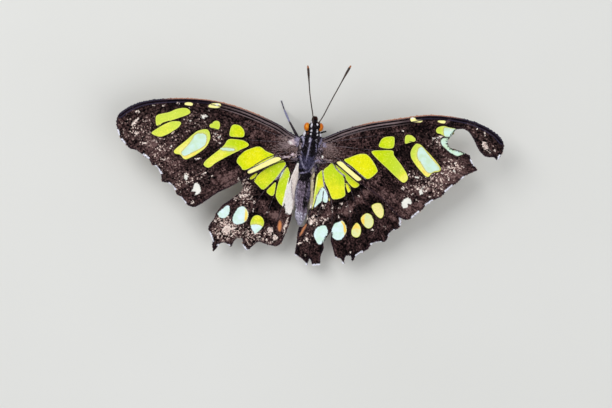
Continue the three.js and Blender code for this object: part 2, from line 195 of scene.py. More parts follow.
# ---- markings in plan, millimetres from the middle, head towards +y ----
# A mark is a list of outline points, or the middle, radii and turn of an oval. Soft fields (worn, tone,
# yellow) are spots of x, y, radius and strength.
FOREWING_LEFT = {
    "lime": [
        [(-38.2, 6.1), (-37.5, 7), (-35, 7.9), (-33.5, 8.8), (-31.5, 9.4), (-30.2, 9.1), (-30, 8.1),
         (-32.5, 6.7), (-34, 6), (-36, 5.2), (-37.6, 4)],
        [(-38.7, 2.4), (-37, 3.9), (-35.5, 5), (-33.8, 5.8), (-31.8, 5.8), (-32.2, 4.5), (-33.5, 3.3),
         (-35, 2.2), (-36.5, 1.5), (-38.2, 1.8)],
        [(-24.9, 5.9), (-24.1, 6.8), (-23.4, 7.3), (-22.5, 7.1), (-22.2, 5.9), (-22.7, 5), (-24.3, 5.3)],
        [(-19.5, 3.9), (-19.7, 5.2), (-19.2, 6.8), (-17.5, 6.9), (-16.2, 5.8), (-16.1, 4.2), (-18, 3.9)],
        [(-19.8, 3.1), (-18, 3.4), (-15.8, 3.3), (-14.5, 2.3), (-16.3, 1), (-19.3, -1), (-22, -3),
         (-23.6, -4.5), (-25, -3.9), (-24.6, -2.7), (-22.5, -0.5), (-20.7, 1.5)],
        [(-25.2, 4.9), (-27.2, 4.4), (-28.6, 3.2), (-30, 1.6), (-32.6, -1.2), (-32.3, -2.1), (-31, -2.2),
         (-30.2, -3), (-29.5, -3.2), (-28.4, -2.6), (-26.9, -1.5), (-25.1, 0.3), (-24.3, 2), (-24.3, 3.6)],
        [(-12, 2.4), (-14.3, 1.5), (-16.1, 0.2), (-17.1, -1.9), (-15.9, -3.2), (-14.9, -3.9), (-12, -2.3),
         (-8, 0.5), (-10.2, 1.5)],
    ],
    "aqua": [
        [(-27.9, 3.4), (-26.5, 3.75), (-25.4, 3.6), (-25, 2.5), (-25.1, 1.2), (-25.9, 0.2), (-27.1, -0.6),
         (-28.3, -1.4), (-29.6, -2.3), (-30.5, -2.2), (-30.8, -1.5), (-30, -0.3), (-28.9, 1.4)],
        [(-21.4, 0.9), (-18.2, 1.1), (-18, 0.4), (-21, 0.2)],
    ],
    "gold": [
        [(-30, -3.1), (-28.3, -2.4), (-26.7, -1.2), (-27.4, -1), (-29, -1.9), (-30.4, -2.6)],
    ],
    "cream": [
        [(-6.2, -0.1), (-7.6, 0.4), (-11, -1.7), (-14, -3.9), (-13.5, -4.6), (-11.2, -3.3), (-8.6, -1.7)],
        [(-31.6, 10.1), (-31.3, 10.8), (-29.7, 10.9), (-29.5, 10.2), (-30.5, 9.95)],
        [(-25.7, 10.3), (-25.5, 11), (-24.4, 11.5), (-22.8, 11.6), (-22.6, 10.9), (-23.2, 10.4),
         (-24.3, 10.2)],
    ],
    "white": [
        [(-26.3, -8.5), (-25.5, -8.7), (-24.9, -9.8), (-25, -11), (-26.3, -11.7), (-26.1, -10.7),
        (-27.3, -10.8), (-26.8, -9.9), (-26.9, -9.1)], (-28.9, -7.4, 0.5, 0.9, 5), (-26.6, 7.8, 0.5, 0.55),
        (-25.9, 8.1, 0.5, 0.3), (-23, 4, 0.3, 0.25), (-22.1, 3.4, 0.5, 0.25, 30), (-29.6, 6.4, 0.3, 0.25),
        (-33.5, -0.4, 0.25, 0.2), (-23.6, 11.2, 0.8, 0.3, 15),
    ],
    "pale": [
        (-43, 4.5, 0.4, 1.2, -40), (-42.8, 7, 0.6, 0.35, 20), (-42.3, 1.7, 0.6, 0.6),
        (-45.7, 1.6, 0.2, 0.6, 10), (-40, -0.5, 0.8, 0.4, 20), (-33.4, -0.3, 0.3, 0.22),
        (-36.6, -1.3, 0.6, 0.35), (-29.6, 6.4, 0.4, 0.3), (-26.5, 8, 0.7, 0.55), (-25.5, 9.4, 0.4, 0.25),
        (-23, 4, 0.4, 0.3), (-21.7, 1.9, 0.3, 0.25), (-28.95, -7.3, 0.62, 1.0, 5), (-28.4, -8.9, 0.5, 0.3),
        (-29.7, -11.4, 0.3, 0.2), (-26.5, -13.4, 0.4, 0.5), (-26.6, -2.6, 1, 0.22, 20),
        (-24.6, -6, 1.0, 0.22, 40), (-22.7, -6.4, 0.7, 0.2, 20), (-16, -6.3, 0.25, 0.6, 10),
        (-34.8, -3.9, 0.5, 0.3), (-6, 5, 0.5, 0.35, 30), (-4.4, 4.4, 0.5, 0.25), (-3.3, 1.5, 0.5, 0.3, -20),
        (-33.2, 10.2, 0.5, 0.45), (-36.7, 9.4, 0.5, 0.25, 20), (-39, 9, 0.3, 0.25), (-40.2, 5, 0.4, 0.25),
        (-30, 9.5, 0.3, 0.2), (-37.2, 0.3, 0.5, 0.3),
    ],
    "lilac": [[(-7.2, 0.8), (-10.5, -1.4), (-14, -3.9)]],
    "worn": [
        (-41.5, 3, 5.5, 0.85), (-36, -3, 4.5, 0.75), (-29.5, 7.5, 3.4, 0.65), (-26.5, 5.5, 3, 0.55),
        (-22.5, 3.1, 2.0, 1.1), (-26, -8, 3.6, 0.6), (-31, -7, 3.5, 0.55), (-20, 8.5, 2.4, 0.45),
        (-33, 2.5, 2.5, 0.6), (-15.2, -5.8, 1.4, 0.5), (-6.5, 5, 1.6, 0.4), (-30.5, -10.5, 2.5, 0.4),
        (-24.5, -5, 2.2, 0.4), (-8.6, 1.8, 1.2, 0.35), (-37, 8.6, 1.6, 0.3),
    ],
    "tone": [
        (-19.5, -6.6, 2.6, 1.3), (-16.8, -5.8, 1.6, 0.8), (-22.5, -10.5, 2.2, 0.8), (-12, 5.8, 3.2, 0.6),
        (-8, 5.6, 2.4, 0.5), (-28, -11.5, 2, 0.5), (-18, -3, 2, -0.6), (-21.5, -1.5, 1.6, -0.5),
        (-26.5, 1, 2, -0.4), (-34, 9.7, 3, -0.3), (-44, 5, 2.6, -0.3), (-20, 5, 1.5, -0.3),
        (-38, -1.5, 3, 0.8), (-35, -3.6, 3.0, 0.8), (-31, -6.4, 2.4, 0.8), (-24.2, -8.3, 1.5, -1.6),
        (-28, 8.2, 1.2, -0.8),
    ],
    "yellow": [
        (-20.8, -0.8, 1.4, 0.7), (-13, -0.5, 4.2, 0.9), (-17.8, 5.3, 1.8, 0.5), (-22.5, -2.8, 2.2, 0.8),
        (-30.6, -0.8, 3.2, 1.15), (-26, 1, 2, 0.9), (-35.5, 3, 3, 0.5), (-31, 8.5, 2.5, 0.2),
    ],
    "front": [(-2.2, 5.9), (-4.7, 6.7), (-8, 8.4), (-14.7, 10.5), (-20.7, 11.7), (-26, 12.1), (-32, 11.7),
              (-38, 10.65), (-42, 9.5), (-45.3, 7.6), (-47.1, 5.9)],
    "vein": [
        [(-2.6, 5.2), (-8, 7.3), (-14.7, 9.3), (-20, 10.6), (-26, 11.1), (-31, 11)],
        [(-2.6, 4.6), (-12, 6.6), (-19, 8.4), (-25, 9.4), (-31, 10), (-38, 9.2), (-45.8, 5)],
        [(-26, 8.4), (-32, 9.8), (-38, 8), (-43, 4.8), (-47, 1.7)],
        [(-25, 7.6), (-30, 7.2), (-33.3, 6.2), (-38, 3.7), (-43.3, -2.2)],
        [(-24, 6.6), (-30, 4.9), (-35, 1.2), (-39.4, -3.9)],
        [(-22, 5), (-25, 5.2), (-29, 3.4), (-33, -1.2), (-37.5, -5.5)],
        [(-2.6, 3.9), (-8, 4.1), (-14.5, 3.6), (-19.8, 3.6), (-22, 5)],
        [(-20, 3.4), (-23.7, 0.5), (-28.5, -4), (-34.6, -9.2)],
        [(-13.8, 3.4), (-17, -1), (-22, -5), (-30.6, -11.8)],
        [(-2.6, 2.6), (-7.9, 0.8), (-11, -1.1), (-14.2, -3.8), (-20, -8.4), (-27.7, -14)],
    ],
    "white_fringe": [
        ((-47, 1.9), (-46.6, 0.7)), ((-45.8, -0.3), (-44.9, -1.1)), ((-40, -3.3), (-38.6, -4)),
        ((-36.6, -5.7), (-35, -7.3)), ((-32.8, -9.5), (-31.1, -10.8)), ((-29.6, -12.5), (-28.2, -13.8)),
    ],
}

FOREWING_RIGHT = {
    "lime": [
        [(31.1, 12.9), (32.4, 13.3), (33.7, 13.1), (35.6, 12.9), (35, 11.8), (34.2, 10.3), (32, 11.1),
         (30.9, 11.3), (30.5, 12.1)],
        [(23.3, 9.7), (24.7, 10), (25.9, 9.2), (25.8, 8.6), (24.3, 8), (23.4, 7.7)],
        [(17.4, 6), (17.2, 7.2), (18.1, 8.6), (20.3, 9.1), (20.8, 8.3), (20.6, 6.2)],
        [(16.2, 5.1), (20.5, 5.7), (21.2, 4.5), (23.2, 2.5), (24.9, 0.4), (25.3, -0.8), (24.4, -1.9),
         (22.7, -1), (19.7, 1.2), (18, 2.4), (15.6, 4.4)],
        [(26, 8), (27.1, 8.1), (28.7, 6.9), (31.1, 4.9), (32.9, 3), (32.7, 2), (31.1, 1.5), (30, 0.2),
         (28.1, 1.5), (25.9, 3.7), (25.1, 5.2), (25.2, 6.6)],
        [(9.1, 1.7), (9.9, 2.4), (12, 3.5), (13.1, 3.9), (14.5, 3.9), (16, 2.7), (17.5, 0.7), (17.5, -0.3),
         (15.7, -2.1), (14.1, -1.5), (11.3, 0.4)],
    ],
    "aqua": [
        [(32.4, 12.9), (33.9, 13), (35.6, 12.9), (34.9, 11.8), (34.1, 10.3), (32.7, 10.8)],
        [(33.7, 10.4), (34, 8.6), (34.9, 8), (37.1, 7.7), (39.1, 7.2), (38, 7), (36.7, 6.3), (35.2, 6.7),
         (33.5, 7.7), (32.1, 8.9), (32.2, 10.1)],
        [(27, 7.2), (27.8, 7.5), (28.8, 6.6), (30.2, 5.2), (31.7, 4), (32.7, 2.9), (32.4, 2.1),
         (31.4, 1.9), (30.7, 1.3), (29.7, 1.5), (28.8, 2.4), (28, 3.4), (27, 4.5), (26.7, 5.8)],
    ],
    "gold": [
        [(29.9, 5.7), (31.1, 4.8), (32.7, 3.2), (32.4, 3), (30.9, 4.3), (29.8, 5.3)],
        [(28, 2.2), (29.4, 1.7), (30.4, 1), (29.9, 0.4), (28.6, 1.3)],
    ],
    "cream": [
        [(7.3, 0.9), (8.5, 1.4), (10, 0.4), (12.1, -1), (14, -2.3), (13, -2.9), (11.2, -1.8), (9.2, -0.5)],
        [(23.9, 14.2), (25.1, 14.4), (25.4, 13.9), (27, 14.1), (26.7, 13.4), (25.1, 13.2), (24.1, 13.3)],
        [(30.6, 14.4), (31.6, 14.6), (32.6, 14.6), (32.5, 13.9), (31.5, 13.8), (30.7, 14)],
    ],
    "white": [
        [(24.6, -6.4), (25.7, -5.3), (26.9, -6), (26.9, -6.9), (26.1, -6.9), (26.2, -7.7), (25.2, -8.1),
        (24.6, -7.6)], (28.9, -3.6, 0.5, 0.8, 10), (29.2, -2.4, 0.2, 0.6, -20), (27.4, -0.1, 0.5, 0.35, 20),
        (36.3, 2.6, 0.35, 0.35), (24.5, 14.1, 0.6, 0.25, 10), (31.3, 10.2, 0.6, 0.2, 10),
        (30.2, 9.9, 0.25, 0.4), (34.2, 12.4, 0.6, 0.3, 10),
    ],
    "pale": [
        (42.7, 12.5, 0.2, 0.7, 12), (43.1, 9.7, 0.6, 1.35, 35), (40.5, 13.7, 0.35, 0.3),
        (45.6, 8.9, 0.3, 0.3), (44.5, 8.3, 0.3, 0.25), (46.5, 7.4, 0.2, 0.45, -20),
        (27.5, -0.1, 0.6, 0.4, 20), (28.9, -3.3, 0.5, 0.8, 10), (29.3, -2.3, 0.25, 0.5, -30),
        (30, -3.2, 0.5, 0.2, 20), (27.9, -2.6, 0.2, 0.7, 25), (31.2, -4.5, 0.28, 0.28),
        (33.3, -1.5, 0.35, 0.3), (34, -2.1, 0.35, 0.3), (35.2, 0.7, 0.4, 0.7, 10), (36.4, 2.5, 0.4, 0.4),
        (34.8, 3.5, 0.35, 0.35), (33.5, 1.7, 0.4, 0.35), (31.2, 9.2, 0.35, 0.6, 10), (30.1, 9.9, 0.3, 0.4),
        (31.8, 10.5, 0.6, 0.25, 10), (38.5, 3.9, 0.3, 0.3), (36.4, 4.6, 0.3, 0.5),
        (24.4, -3.2, 0.3, 0.5, 10), (26.9, -4.4, 0.45, 0.25, -30), (28.2, -5.7, 0.6, 0.2, -35),
        (22.3, 10.7, 0.35, 0.3), (3.7, 1.9, 0.35, 0.25), (4.9, 2.2, 0.4, 0.25),
    ],
    "lilac": [[(2.6, 0.9), (3.6, 1.35), (4.6, 1.4), (5.8, 1.2)], [(8, 1.6), (12, -0.3), (15, -2.2)]],
    "worn": [
        (35, 3, 3.6, 0.8), (31.3, 9, 2.4, 1.0), (36.5, 3.4, 2.4, 0.7), (28.5, -2.6, 3, 0.8),
        (26, 1, 2, 0.7), (32, 0, 3, 0.75), (42.8, 11, 3, 0.5), (38.5, 13.6, 3, 0.4), (25, -4.5, 2.2, 0.5),
        (22, 10.8, 2.4, 0.3), (33.5, -2.5, 2.5, 0.5), (45, 8.5, 2, 0.4), (6.5, 2.8, 1.8, 0.4),
    ],
    "tone": [
        (18.5, -4.2, 2.4, 0.9), (22, -6, 2.6, 0.6), (26, -9, 2.6, 1.2), (29, -7, 2.2, 1.0),
        (36.2, 3, 3.2, 1.5), (38, 2, 1.8, 1.0), (33, -0.5, 3, 1.0), (9, 6.6, 3, 0.5), (14, 7.8, 2.6, 0.5),
        (20, -2.2, 1.8, -0.5), (26, 1.6, 1.6, -0.4), (22.5, -3.4, 1.4, -0.7), (28.5, 10.5, 2.2, -0.5),
        (44, 11, 3, -0.4), (24, 6.4, 1.5, -0.4), (9, 4.2, 2.5, 0.3),
    ],
    "yellow": [(13.5, 1, 4.2, 1.0), (24.4, -0.8, 1.6, 1.0), (29.4, 2.2, 3.4, 1.15), (19, 7.5, 2, 0.3)],
    "front": [(3.2, 6.4), (5.3, 7.6), (8.4, 9.3), (14, 11.6), (21.4, 13.7), (28, 15.4), (34, 15.8),
              (40, 15.2), (44.8, 13.4), (47.1, 11.6)],
    "vein": [
        [(3.4, 5.8), (9.3, 8.3), (16, 10.8), (22, 12.4), (28, 14.3), (33, 14.9)],
        [(3.4, 5.2), (11, 7.4), (20, 9.8), (28, 12.4), (34, 13.7), (40, 13.8), (46.9, 9)],
        [(28, 12.2), (33, 10.6), (38, 11), (41.9, 10.8), (45.9, 7.3)],
        [(26, 10.4), (30, 9.2), (36, 6), (41.7, 3.7)],
        [(24.5, 8.4), (29, 7.6), (34, 3.4), (39.1, 2)],
        [(22.6, 7), (24.6, 5), (27, 1.6), (30, -0.4), (34.2, -1), (37, -0.4)],
        [(3.4, 4.9), (10, 5), (16, 5.2), (20.8, 6), (22.6, 7)],
        [(21, 5.9), (24.3, 3.3), (28, -0.8), (34.5, -3)],
        [(15, 4.8), (18, 1.2), (22, -2.6), (27, -5), (32, -5.2)],
        [(3.4, 3.2), (8.9, 1.5), (12, -0.3), (15.1, -2.3), (20, -5.4), (27.4, -10.1)],
    ],
    "white_fringe": [
        ((40, 5.9), (41, 4.7)), ((38.9, 1.5), (38.4, 0.9)), ((36.3, -1), (34.8, -2.5)),
        ((31.9, -5.3), (30.5, -6.5)), ((28.9, -8.4), (27.5, -10)), ((46.9, 8), (46.6, 7)),
    ],
}

HINDWING_LEFT = {
    "lime": [
        [(-6.3, -0.1), (-5.5, -0.3), (-4.95, -1.1), (-5.6, -2.6), (-6.9, -4.8), (-8.2, -6.5), (-9.4, -7.9),
         (-10.1, -8), (-11, -7.3), (-12.3, -6.2), (-11.9, -5.3), (-11.2, -4.3), (-10, -2.7), (-8, -1.2)],
        [(-11.9, -4), (-13.1, -5.2), (-13.4, -5.9), (-12.7, -5.9), (-12, -5.1), (-11.6, -4.3)],
        [(-6.9, -5.7), (-6.75, -7), (-6.9, -9), (-7.6, -9.3), (-8.9, -8.4), (-8, -7)],
        [(-4.6, -1.6), (-3.9, -2.6), (-3.6, -3.6), (-3.8, -6), (-4.1, -8), (-4.1, -10), (-4.3, -11.4),
         (-5.1, -11.1), (-6, -10.1), (-6.5, -9), (-6.4, -7), (-6.1, -5), (-5.4, -3.2)],
        [(-11.8, -16.2), (-11.3, -14.9), (-10.2, -14.4), (-9, -14.9), (-8.4, -16), (-8.6, -17.1),
         (-9.5, -18.1), (-11, -17.9), (-11.7, -17.2)],
    ],
    "aqua": [
        [(-20.2, -15.2), (-19.3, -14.2), (-18, -12.9), (-17.3, -13.3), (-17.2, -15), (-18.2, -16.3),
         (-19.6, -16.2)],
        [(-16.3, -15.4), (-15.4, -13.4), (-14.5, -12.7), (-13.5, -12.9), (-12.6, -14), (-12.5, -15.4),
         (-13.1, -16.6), (-14, -17.2), (-15.5, -17.5), (-16.2, -16.8)],
        [(-11.7, -17.1), (-10.3, -16.7), (-8.7, -17), (-9.1, -18), (-9.7, -18.7), (-10.4, -19.3),
         (-10.9, -18.6), (-11.4, -18)],
        [(-5.1, -2.1), (-5.15, -2.9), (-5.6, -4.2), (-6.1, -5), (-6.3, -4.5), (-5.9, -3.3), (-5.4, -2.4)],
    ],
    "gold": [
        [(-13.9, -12.9), (-13, -13.4), (-12.5, -14.5), (-12.6, -15.8), (-13.3, -16.8), (-13.5, -15.6),
         (-13.6, -14)],
    ],
    "cream": [
        [(-3.6, -3), (-3.8, -6), (-4.05, -9), (-4.2, -11.5), (-4.6, -11.3), (-4.45, -9), (-4.15, -6),
         (-3.85, -3.4)],
        [(-2.25, -0.1), (-2.7, -1.8), (-3.1, -3.2), (-3.5, -5), (-4.1, -8), (-3.8, -10.8), (-2.8, -13.2),
         (-2, -12.6), (-1.9, -8), (-1.6, -4), (-1.7, -2), (-1.95, -0.6)],
    ],
    "pale": [
        (-17.4, -18.9, 1.4, 0.8, 40), (-19, -20.2, 0.5, 0.35), (-13.9, -9.9, 1.1, 0.4, 10),
        (-13.8, -8.4, 0.9, 0.3, 0), (-12.3, -10.7, 0.5, 0.3), (-15.2, -10.3, 0.35, 0.5),
        (-11.5, -11.4, 0.3, 0.4), (-14.9, -7.2, 0.2, 0.6, 20), (-14, -11.6, 0.5, 0.25),
        (-14, -5.9, 0.25, 0.25), (-16.6, -11, 0.3, 0.5, 20), (-7.9, -13.4, 0.35, 0.3),
        (-6.7, -17.8, 0.75, 0.9, 25), (-5.2, -19.4, 0.62, 0.8, 25), (-11.5, -13.5, 0.2, 0.5),
        (-20.5, -17.2, 0.4, 0.3), (-7.4, -20.2, 0.8, 0.2, -30), (-9, -19.8, 0.2, 0.6, 30),
        (-3.0, -15.8, 0.4, 1.7, -12), (-3.2, -17.9, 0.2, 1.0, -12), (-15.9, -18.6, 0.7, 0.5, 10),
        (-17, -17.6, 0.4, 0.4), (-16.4, -20.3, 0.9, 0.3, -10), (-9.4, -20.4, 0.7, 0.25, 10),
        (-5.9, -20.6, 0.7, 0.2),
    ],
    "rust": [(-4.5, -16.4, 0.66, 1.55, 4)],
    "vein": [
        [(-4.85, -1.2), (-5.5, -2.7), (-6.9, -5.1), (-9.3, -8.2), (-11.3, -12), (-12.1, -16), (-12.9, -21.5)],
        [(-5.8, -3.4), (-6.5, -5.6), (-6.7, -8.5), (-7.8, -13), (-8.2, -17), (-8.8, -20.8)],
        [(-3.1, -2), (-3.7, -5), (-4.4, -11), (-5.6, -17), (-5.6, -21.2)],
        [(-2.6, 0), (-7, -1), (-11.2, -4.1), (-12.3, -6.6), (-13.4, -8.2), (-16, -12.2)],
        [(-11.3, -3.7), (-13.9, -5.7), (-14.6, -7.6), (-16.8, -12)],
        [(-16.6, -17.5), (-15.8, -22.9)],
        [(-20.1, -17), (-21.7, -19.2)],
        [(-17.8, -18.5), (-20, -24.6)],
    ],
    "lilac": [[(-4.9, -1.3), (-5.7, -2.9), (-7, -5.2)]],
    "worn": [
        (-14.4, -8.8, 2.4, 1.8), (-17.6, -18.8, 3.2, 2.3), (-15.5, -11.5, 1.6, 0.7), (-11.5, -20, 2.8, 1.3),
        (-7, -19.4, 2.4, 1.2), (-12, -12.5, 1.8, 0.5), (-19.5, -12.8, 1.2, 0.5), (-15, -6.4, 1.4, 0.7),
    ],
    "tone": [
        (-11.3, -8.9, 1.0, -1.5), (-6.4, -11.9, 0.9, -1.5), (-8.4, -12.2, 1.6, 1.0),
        (-9.8, -9.4, 1.4, -1.2), (-7.2, -10.4, 1.2, -1.2), (-5.2, -12, 1.2, -0.9), (-12.2, -7.6, 1.2, -0.9),
        (-14.5, -15.5, 2.4, -0.7), (-10, -13.8, 1.2, -0.6), (-6.6, -13.6, 1.4, 0.8),
        (-13.8, -9.2, 1.6, 0.8), (-17, -18.8, 2.2, 0.7), (-3.1, -16.4, 1.2, 2.2), (-5, -13.6, 1.6, 1.7),
        (-7, -14.4, 1.2, 0.7), (-8.2, -15.5, 1.2, -0.6),
    ],
    "yellow": [
        (-10, -14.6, 1.6, 0.95), (-10.1, -17.6, 1.0, 1.2), (-12.8, -5.2, 1.0, 0.8), (-10.2, -5, 2.6, 0.55),
        (-7.6, -7.8, 1, 0.4), (-5, -9, 1.4, 0.3),
    ],
    "white_fringe": [
        ((-19.1, -23.1), (-16.2, -22.8)), ((-21.4, -20.3), (-20.4, -22.2)), ((-13, -22.3), (-11.9, -23.3)),
    ],
}

HINDWING_RIGHT = {
    "lime": [
        [(4.5, -1.2), (5.4, -0.2), (6.2, 0.8), (7, 0.2), (8, -1), (9.5, -2.1), (9.9, -3.1), (10.3, -5.3),
         (10.6, -6.8), (9.5, -7.7), (8, -8.15), (7.3, -7.9), (6.2, -5.9), (5.4, -4.7), (4.8, -3.3)],
        [(6.9, 0.7), (7.6, 0.4), (10.6, -1.6), (12.7, -3), (13.7, -3.6), (13.4, -4.3), (12.5, -4.7),
         (11.5, -4.2), (10.4, -3.1), (9.8, -2), (8.3, -1)],
        [(10.2, -3.7), (11.1, -4), (11.8, -5.3), (11.2, -6.1), (10.6, -5)],
        [(2.95, -3.1), (3.3, -2.2), (4.1, -1.2), (4.4, -1.7), (4.8, -3.9), (5.1, -5.4), (4.2, -6.2),
         (3.6, -8), (3.1, -10.9), (2.8, -11.2), (2.85, -8.5), (2.9, -5)],
        [(17.3, -8.5), (18.6, -7.6), (20, -7.9), (20.6, -10), (20.2, -11.2), (19.3, -11.1), (18.1, -10)],
        [(15.1, -12.2), (15.4, -11.2), (16.5, -10.4), (17.8, -10.9), (18.4, -12.3), (18.2, -13.6),
         (17.2, -14.2), (16.1, -13.6)],
        [(13.2, -15.2), (13.5, -14.1), (14.2, -13.1), (15, -13.5), (15.6, -14.7), (15.5, -16.1),
         (14.7, -16.8), (13.5, -16.4)],
    ],
    "aqua": [
        [(4.1, -16.6), (4.8, -15.4), (6.5, -14.7), (7.4, -15.6), (7.6, -16.8), (7.2, -18), (6.3, -19.7),
         (5.2, -19.4), (4.2, -17.9)],
        [(8.3, -15.9), (8.7, -14.2), (9.9, -13.4), (10.7, -13), (11.8, -14.2), (12.1, -15.6), (11.6, -17),
         (10.9, -17.9), (9.7, -18), (8.6, -17.3)],
        [(4.6, -5.5), (5.4, -5.8), (6.1, -6.9), (6.5, -7.8), (6.5, -9), (5.8, -9.3), (5.2, -9), (4.6, -9.5),
         (3.6, -10.8), (3.2, -10.6), (3.6, -8.2), (4.1, -6.5)],
    ],
    "gold": [
        [(10.4, -13), (11.3, -13.4), (12, -14.8), (12.1, -15.8), (11.6, -16.9), (11.2, -15.5), (10.9, -14.2),
         (10.2, -13.6)],
        [(15.1, -12.2), (15.4, -11.1), (16.4, -10.5), (16.15, -12), (16.4, -13.6), (15.6, -13.2)],
        [(13.2, -14.9), (13.7, -13.8), (14.2, -13.1), (15, -13.6), (15.5, -14.6), (14.9, -14.7),
         (14.2, -14.6), (13.6, -15.2)],
        [(6.5, -7.3), (7.1, -8.4), (6.9, -8.9), (6.5, -8.4)],
    ],
    "cream": [
        [(3.05, -2.8), (2.95, -6), (2.9, -9), (2.8, -11), (3.05, -11), (3.2, -9), (3.3, -6), (3.35, -3.2)],
        [(1.6, -0.3), (1.95, -1.6), (2.1, -3), (2.3, -5), (2.5, -7), (2.75, -9), (2.75, -10.8), (2.3, -11.1),
         (2, -9), (1.6, -5)],
    ],
    "pale": [
        (3, -14.3, 0.6, 0.9, 10), (6.3, -13.8, 0.35, 0.9, -15), (5.3, -13.7, 0.25, 0.3),
        (7.8, -10.7, 0.2, 1.0), (3.5, -13, 0.35, 0.3), (4.4, -14.3, 0.2, 0.7, -10),
        (2.5, -18.8, 0.55, 0.6, 20), (0.9, -20, 0.6, 0.35, 30), (2.8, -22.8, 0.25, 0.45),
        (13.9, -6.6, 0.35, 0.3), (9.9, -8.9, 0.42, 0.38), (11.3, -9.3, 0.4, 0.3), (9.6, -10, 0.4, 0.2, 20),
        (18.5, -14.4, 0.5, 0.3), (21.1, -13.2, 0.6, 0.15, -30), (10.3, -11.8, 0.12, 0.7, -20),
        (13.7, -20.4, 0.25, 0.4), (9.6, -12, 0.15, 0.7, 10), (12.3, -10.6, 0.4, 0.2),
        (5.35, -10.1, 0.16, 0.7, 20), (5.85, -10.2, 0.16, 0.7, -20), (4.7, -12.9, 0.5, 0.2, 20),
        (1.9, -13.6, 0.3, 0.5), (7.2, -13.3, 0.2, 0.5, 10),
    ],
    "rust": [[(1.7, -15), (2.3, -15.2), (1.8, -16.6), (1.2, -18), (0.5, -18.6), (0.8, -16.9)]],
    "vein": [
        [(4.2, -1.2), (5.1, -5), (6.2, -6.8), (7.2, -8.3), (7.9, -11), (8.2, -16)],
        [(3.8, 0.5), (6.4, 0.8), (7.3, -0.4), (8.7, -1.5), (9.8, -2.4), (10.3, -4.4), (10.8, -7),
         (12.2, -11.5), (12.5, -16), (12.4, -23)],
        [(9.6, -2.4), (11.2, -4.4), (12.4, -6.6), (14.4, -11.6), (15.9, -15), (16.7, -19.8)],
        [(14, -4.6), (16.2, -8.2), (17.5, -10.6), (18.75, -12.3), (19.2, -13.5), (21.3, -16.9)],
        [(17, -5.6), (19, -6.8), (21.4, -10.4), (23.9, -13.5)],
        [(5.1, -6.4), (5.1, -9.4), (4.4, -13), (3.9, -18), (3.5, -25)],
        [(2.5, -11), (2.2, -16), (1.2, -20), (0.8, -23)],
        [(12.6, -12), (12.95, -15), (13.1, -17), (14.4, -22.4)],
    ],
    "lilac": [[(6.4, 0.8), (7.3, -0.4), (8.7, -1.5), (10, -2.1)], [(4.2, -1.3), (5.1, -5), (6.2, -6.8)],
              [(3.3, -8.5), (3.9, -7.2), (4.5, -5.9)]],
    "worn": [
        (3.6, -13.6, 2.2, 1.3), (2.5, -18.8, 2, 0.8), (7, -12.6, 1.8, 0.7), (11, -9.6, 1.8, 0.4),
        (14.5, -7, 1.5, 0.3), (2, -23, 1.6, 0.3), (18.6, -14.4, 1.3, 0.3),
    ],
    "tone": [
        (11.9, -7.8, 0.9, -1.7), (5, -11.6, 0.9, -1.6), (16, -5.4, 1.1, 1.6), (15, -6.3, 1.1, 1.2),
        (13.3, -8, 1.1, 1.4), (12, -9.8, 1.3, 1.7), (10.8, -10.9, 1.1, 1.2), (7.4, -11.3, 1.0, 1.2),
        (6.3, -12.6, 1.0, 1.1), (18.5, -5, 1.4, 0.9), (12.4, -5.8, 1.3, -1.6), (9.4, -8.7, 1.4, -1.6),
        (4.6, -11.2, 1.0, -1.6), (15.4, -9.4, 1.2, -1.4), (17.2, -7.2, 1.0, -1.4), (8.7, -12.6, 0.8, -1.0),
        (13.8, -12, 1.2, -0.9), (11, -12.8, 0.8, -0.7), (4, -21, 2.4, -0.4), (21.8, -9.8, 1.6, 1.0),
        (19.6, -13.6, 1.6, 0.3),
    ],
    "patch_hue": {4: 1.62, 5: 2.1, 6: 1.9},
    "yellow": [
        (8, -6.5, 2.6, 0.9), (3.9, -4.6, 1.0, 1.0), (11, -5, 1.0, 0.8), (12.4, -3.9, 1.2, 0.7),
        (6.5, -3.5, 2.0, 0.3),
    ],
    "white_fringe": [
        ((24.7, -10.6), (25, -12.3)), ((23.7, -13.7), (22.5, -15.2)), ((20.8, -17.1), (18.5, -17.9)),
        ((16.5, -20.1), (15.2, -21.2)), ((12.3, -23.5), (10.3, -22.4)), ((0.1, -23), (3.3, -25)),
        ((4.8, -25), (6.6, -24.6)),
    ],
}


# ---- shader maths ----
class Socket:
    """One output socket of a node tree; arithmetic on it adds Math nodes."""

    def __init__(self, tree, socket):
        self.tree = tree
        self.socket = socket

    def math(self, operation, other=0.0):
        return self.tree.node("ShaderNodeMath", {"operation": operation}, {0: self, 1: other})

    def __add__(self, other):
        return self.math("ADD", other)

    __radd__ = __add__

    def __sub__(self, other):
        return self.math("SUBTRACT", other)

    def __rsub__(self, other):
        return self.tree.node("ShaderNodeMath", {"operation": "SUBTRACT"}, {0: other, 1: self})

    def __mul__(self, other):
        return self.math("MULTIPLY", other)

    __rmul__ = __mul__

    def step(self, low, high):
        """0 below low, 1 above high, smooth between."""
        return self.tree.node(
            "ShaderNodeMapRange", {"interpolation_type": "SMOOTHSTEP"},
            {"Value": self, "From Min": low, "From Max": high, "To Min": 0.0, "To Max": 1.0})


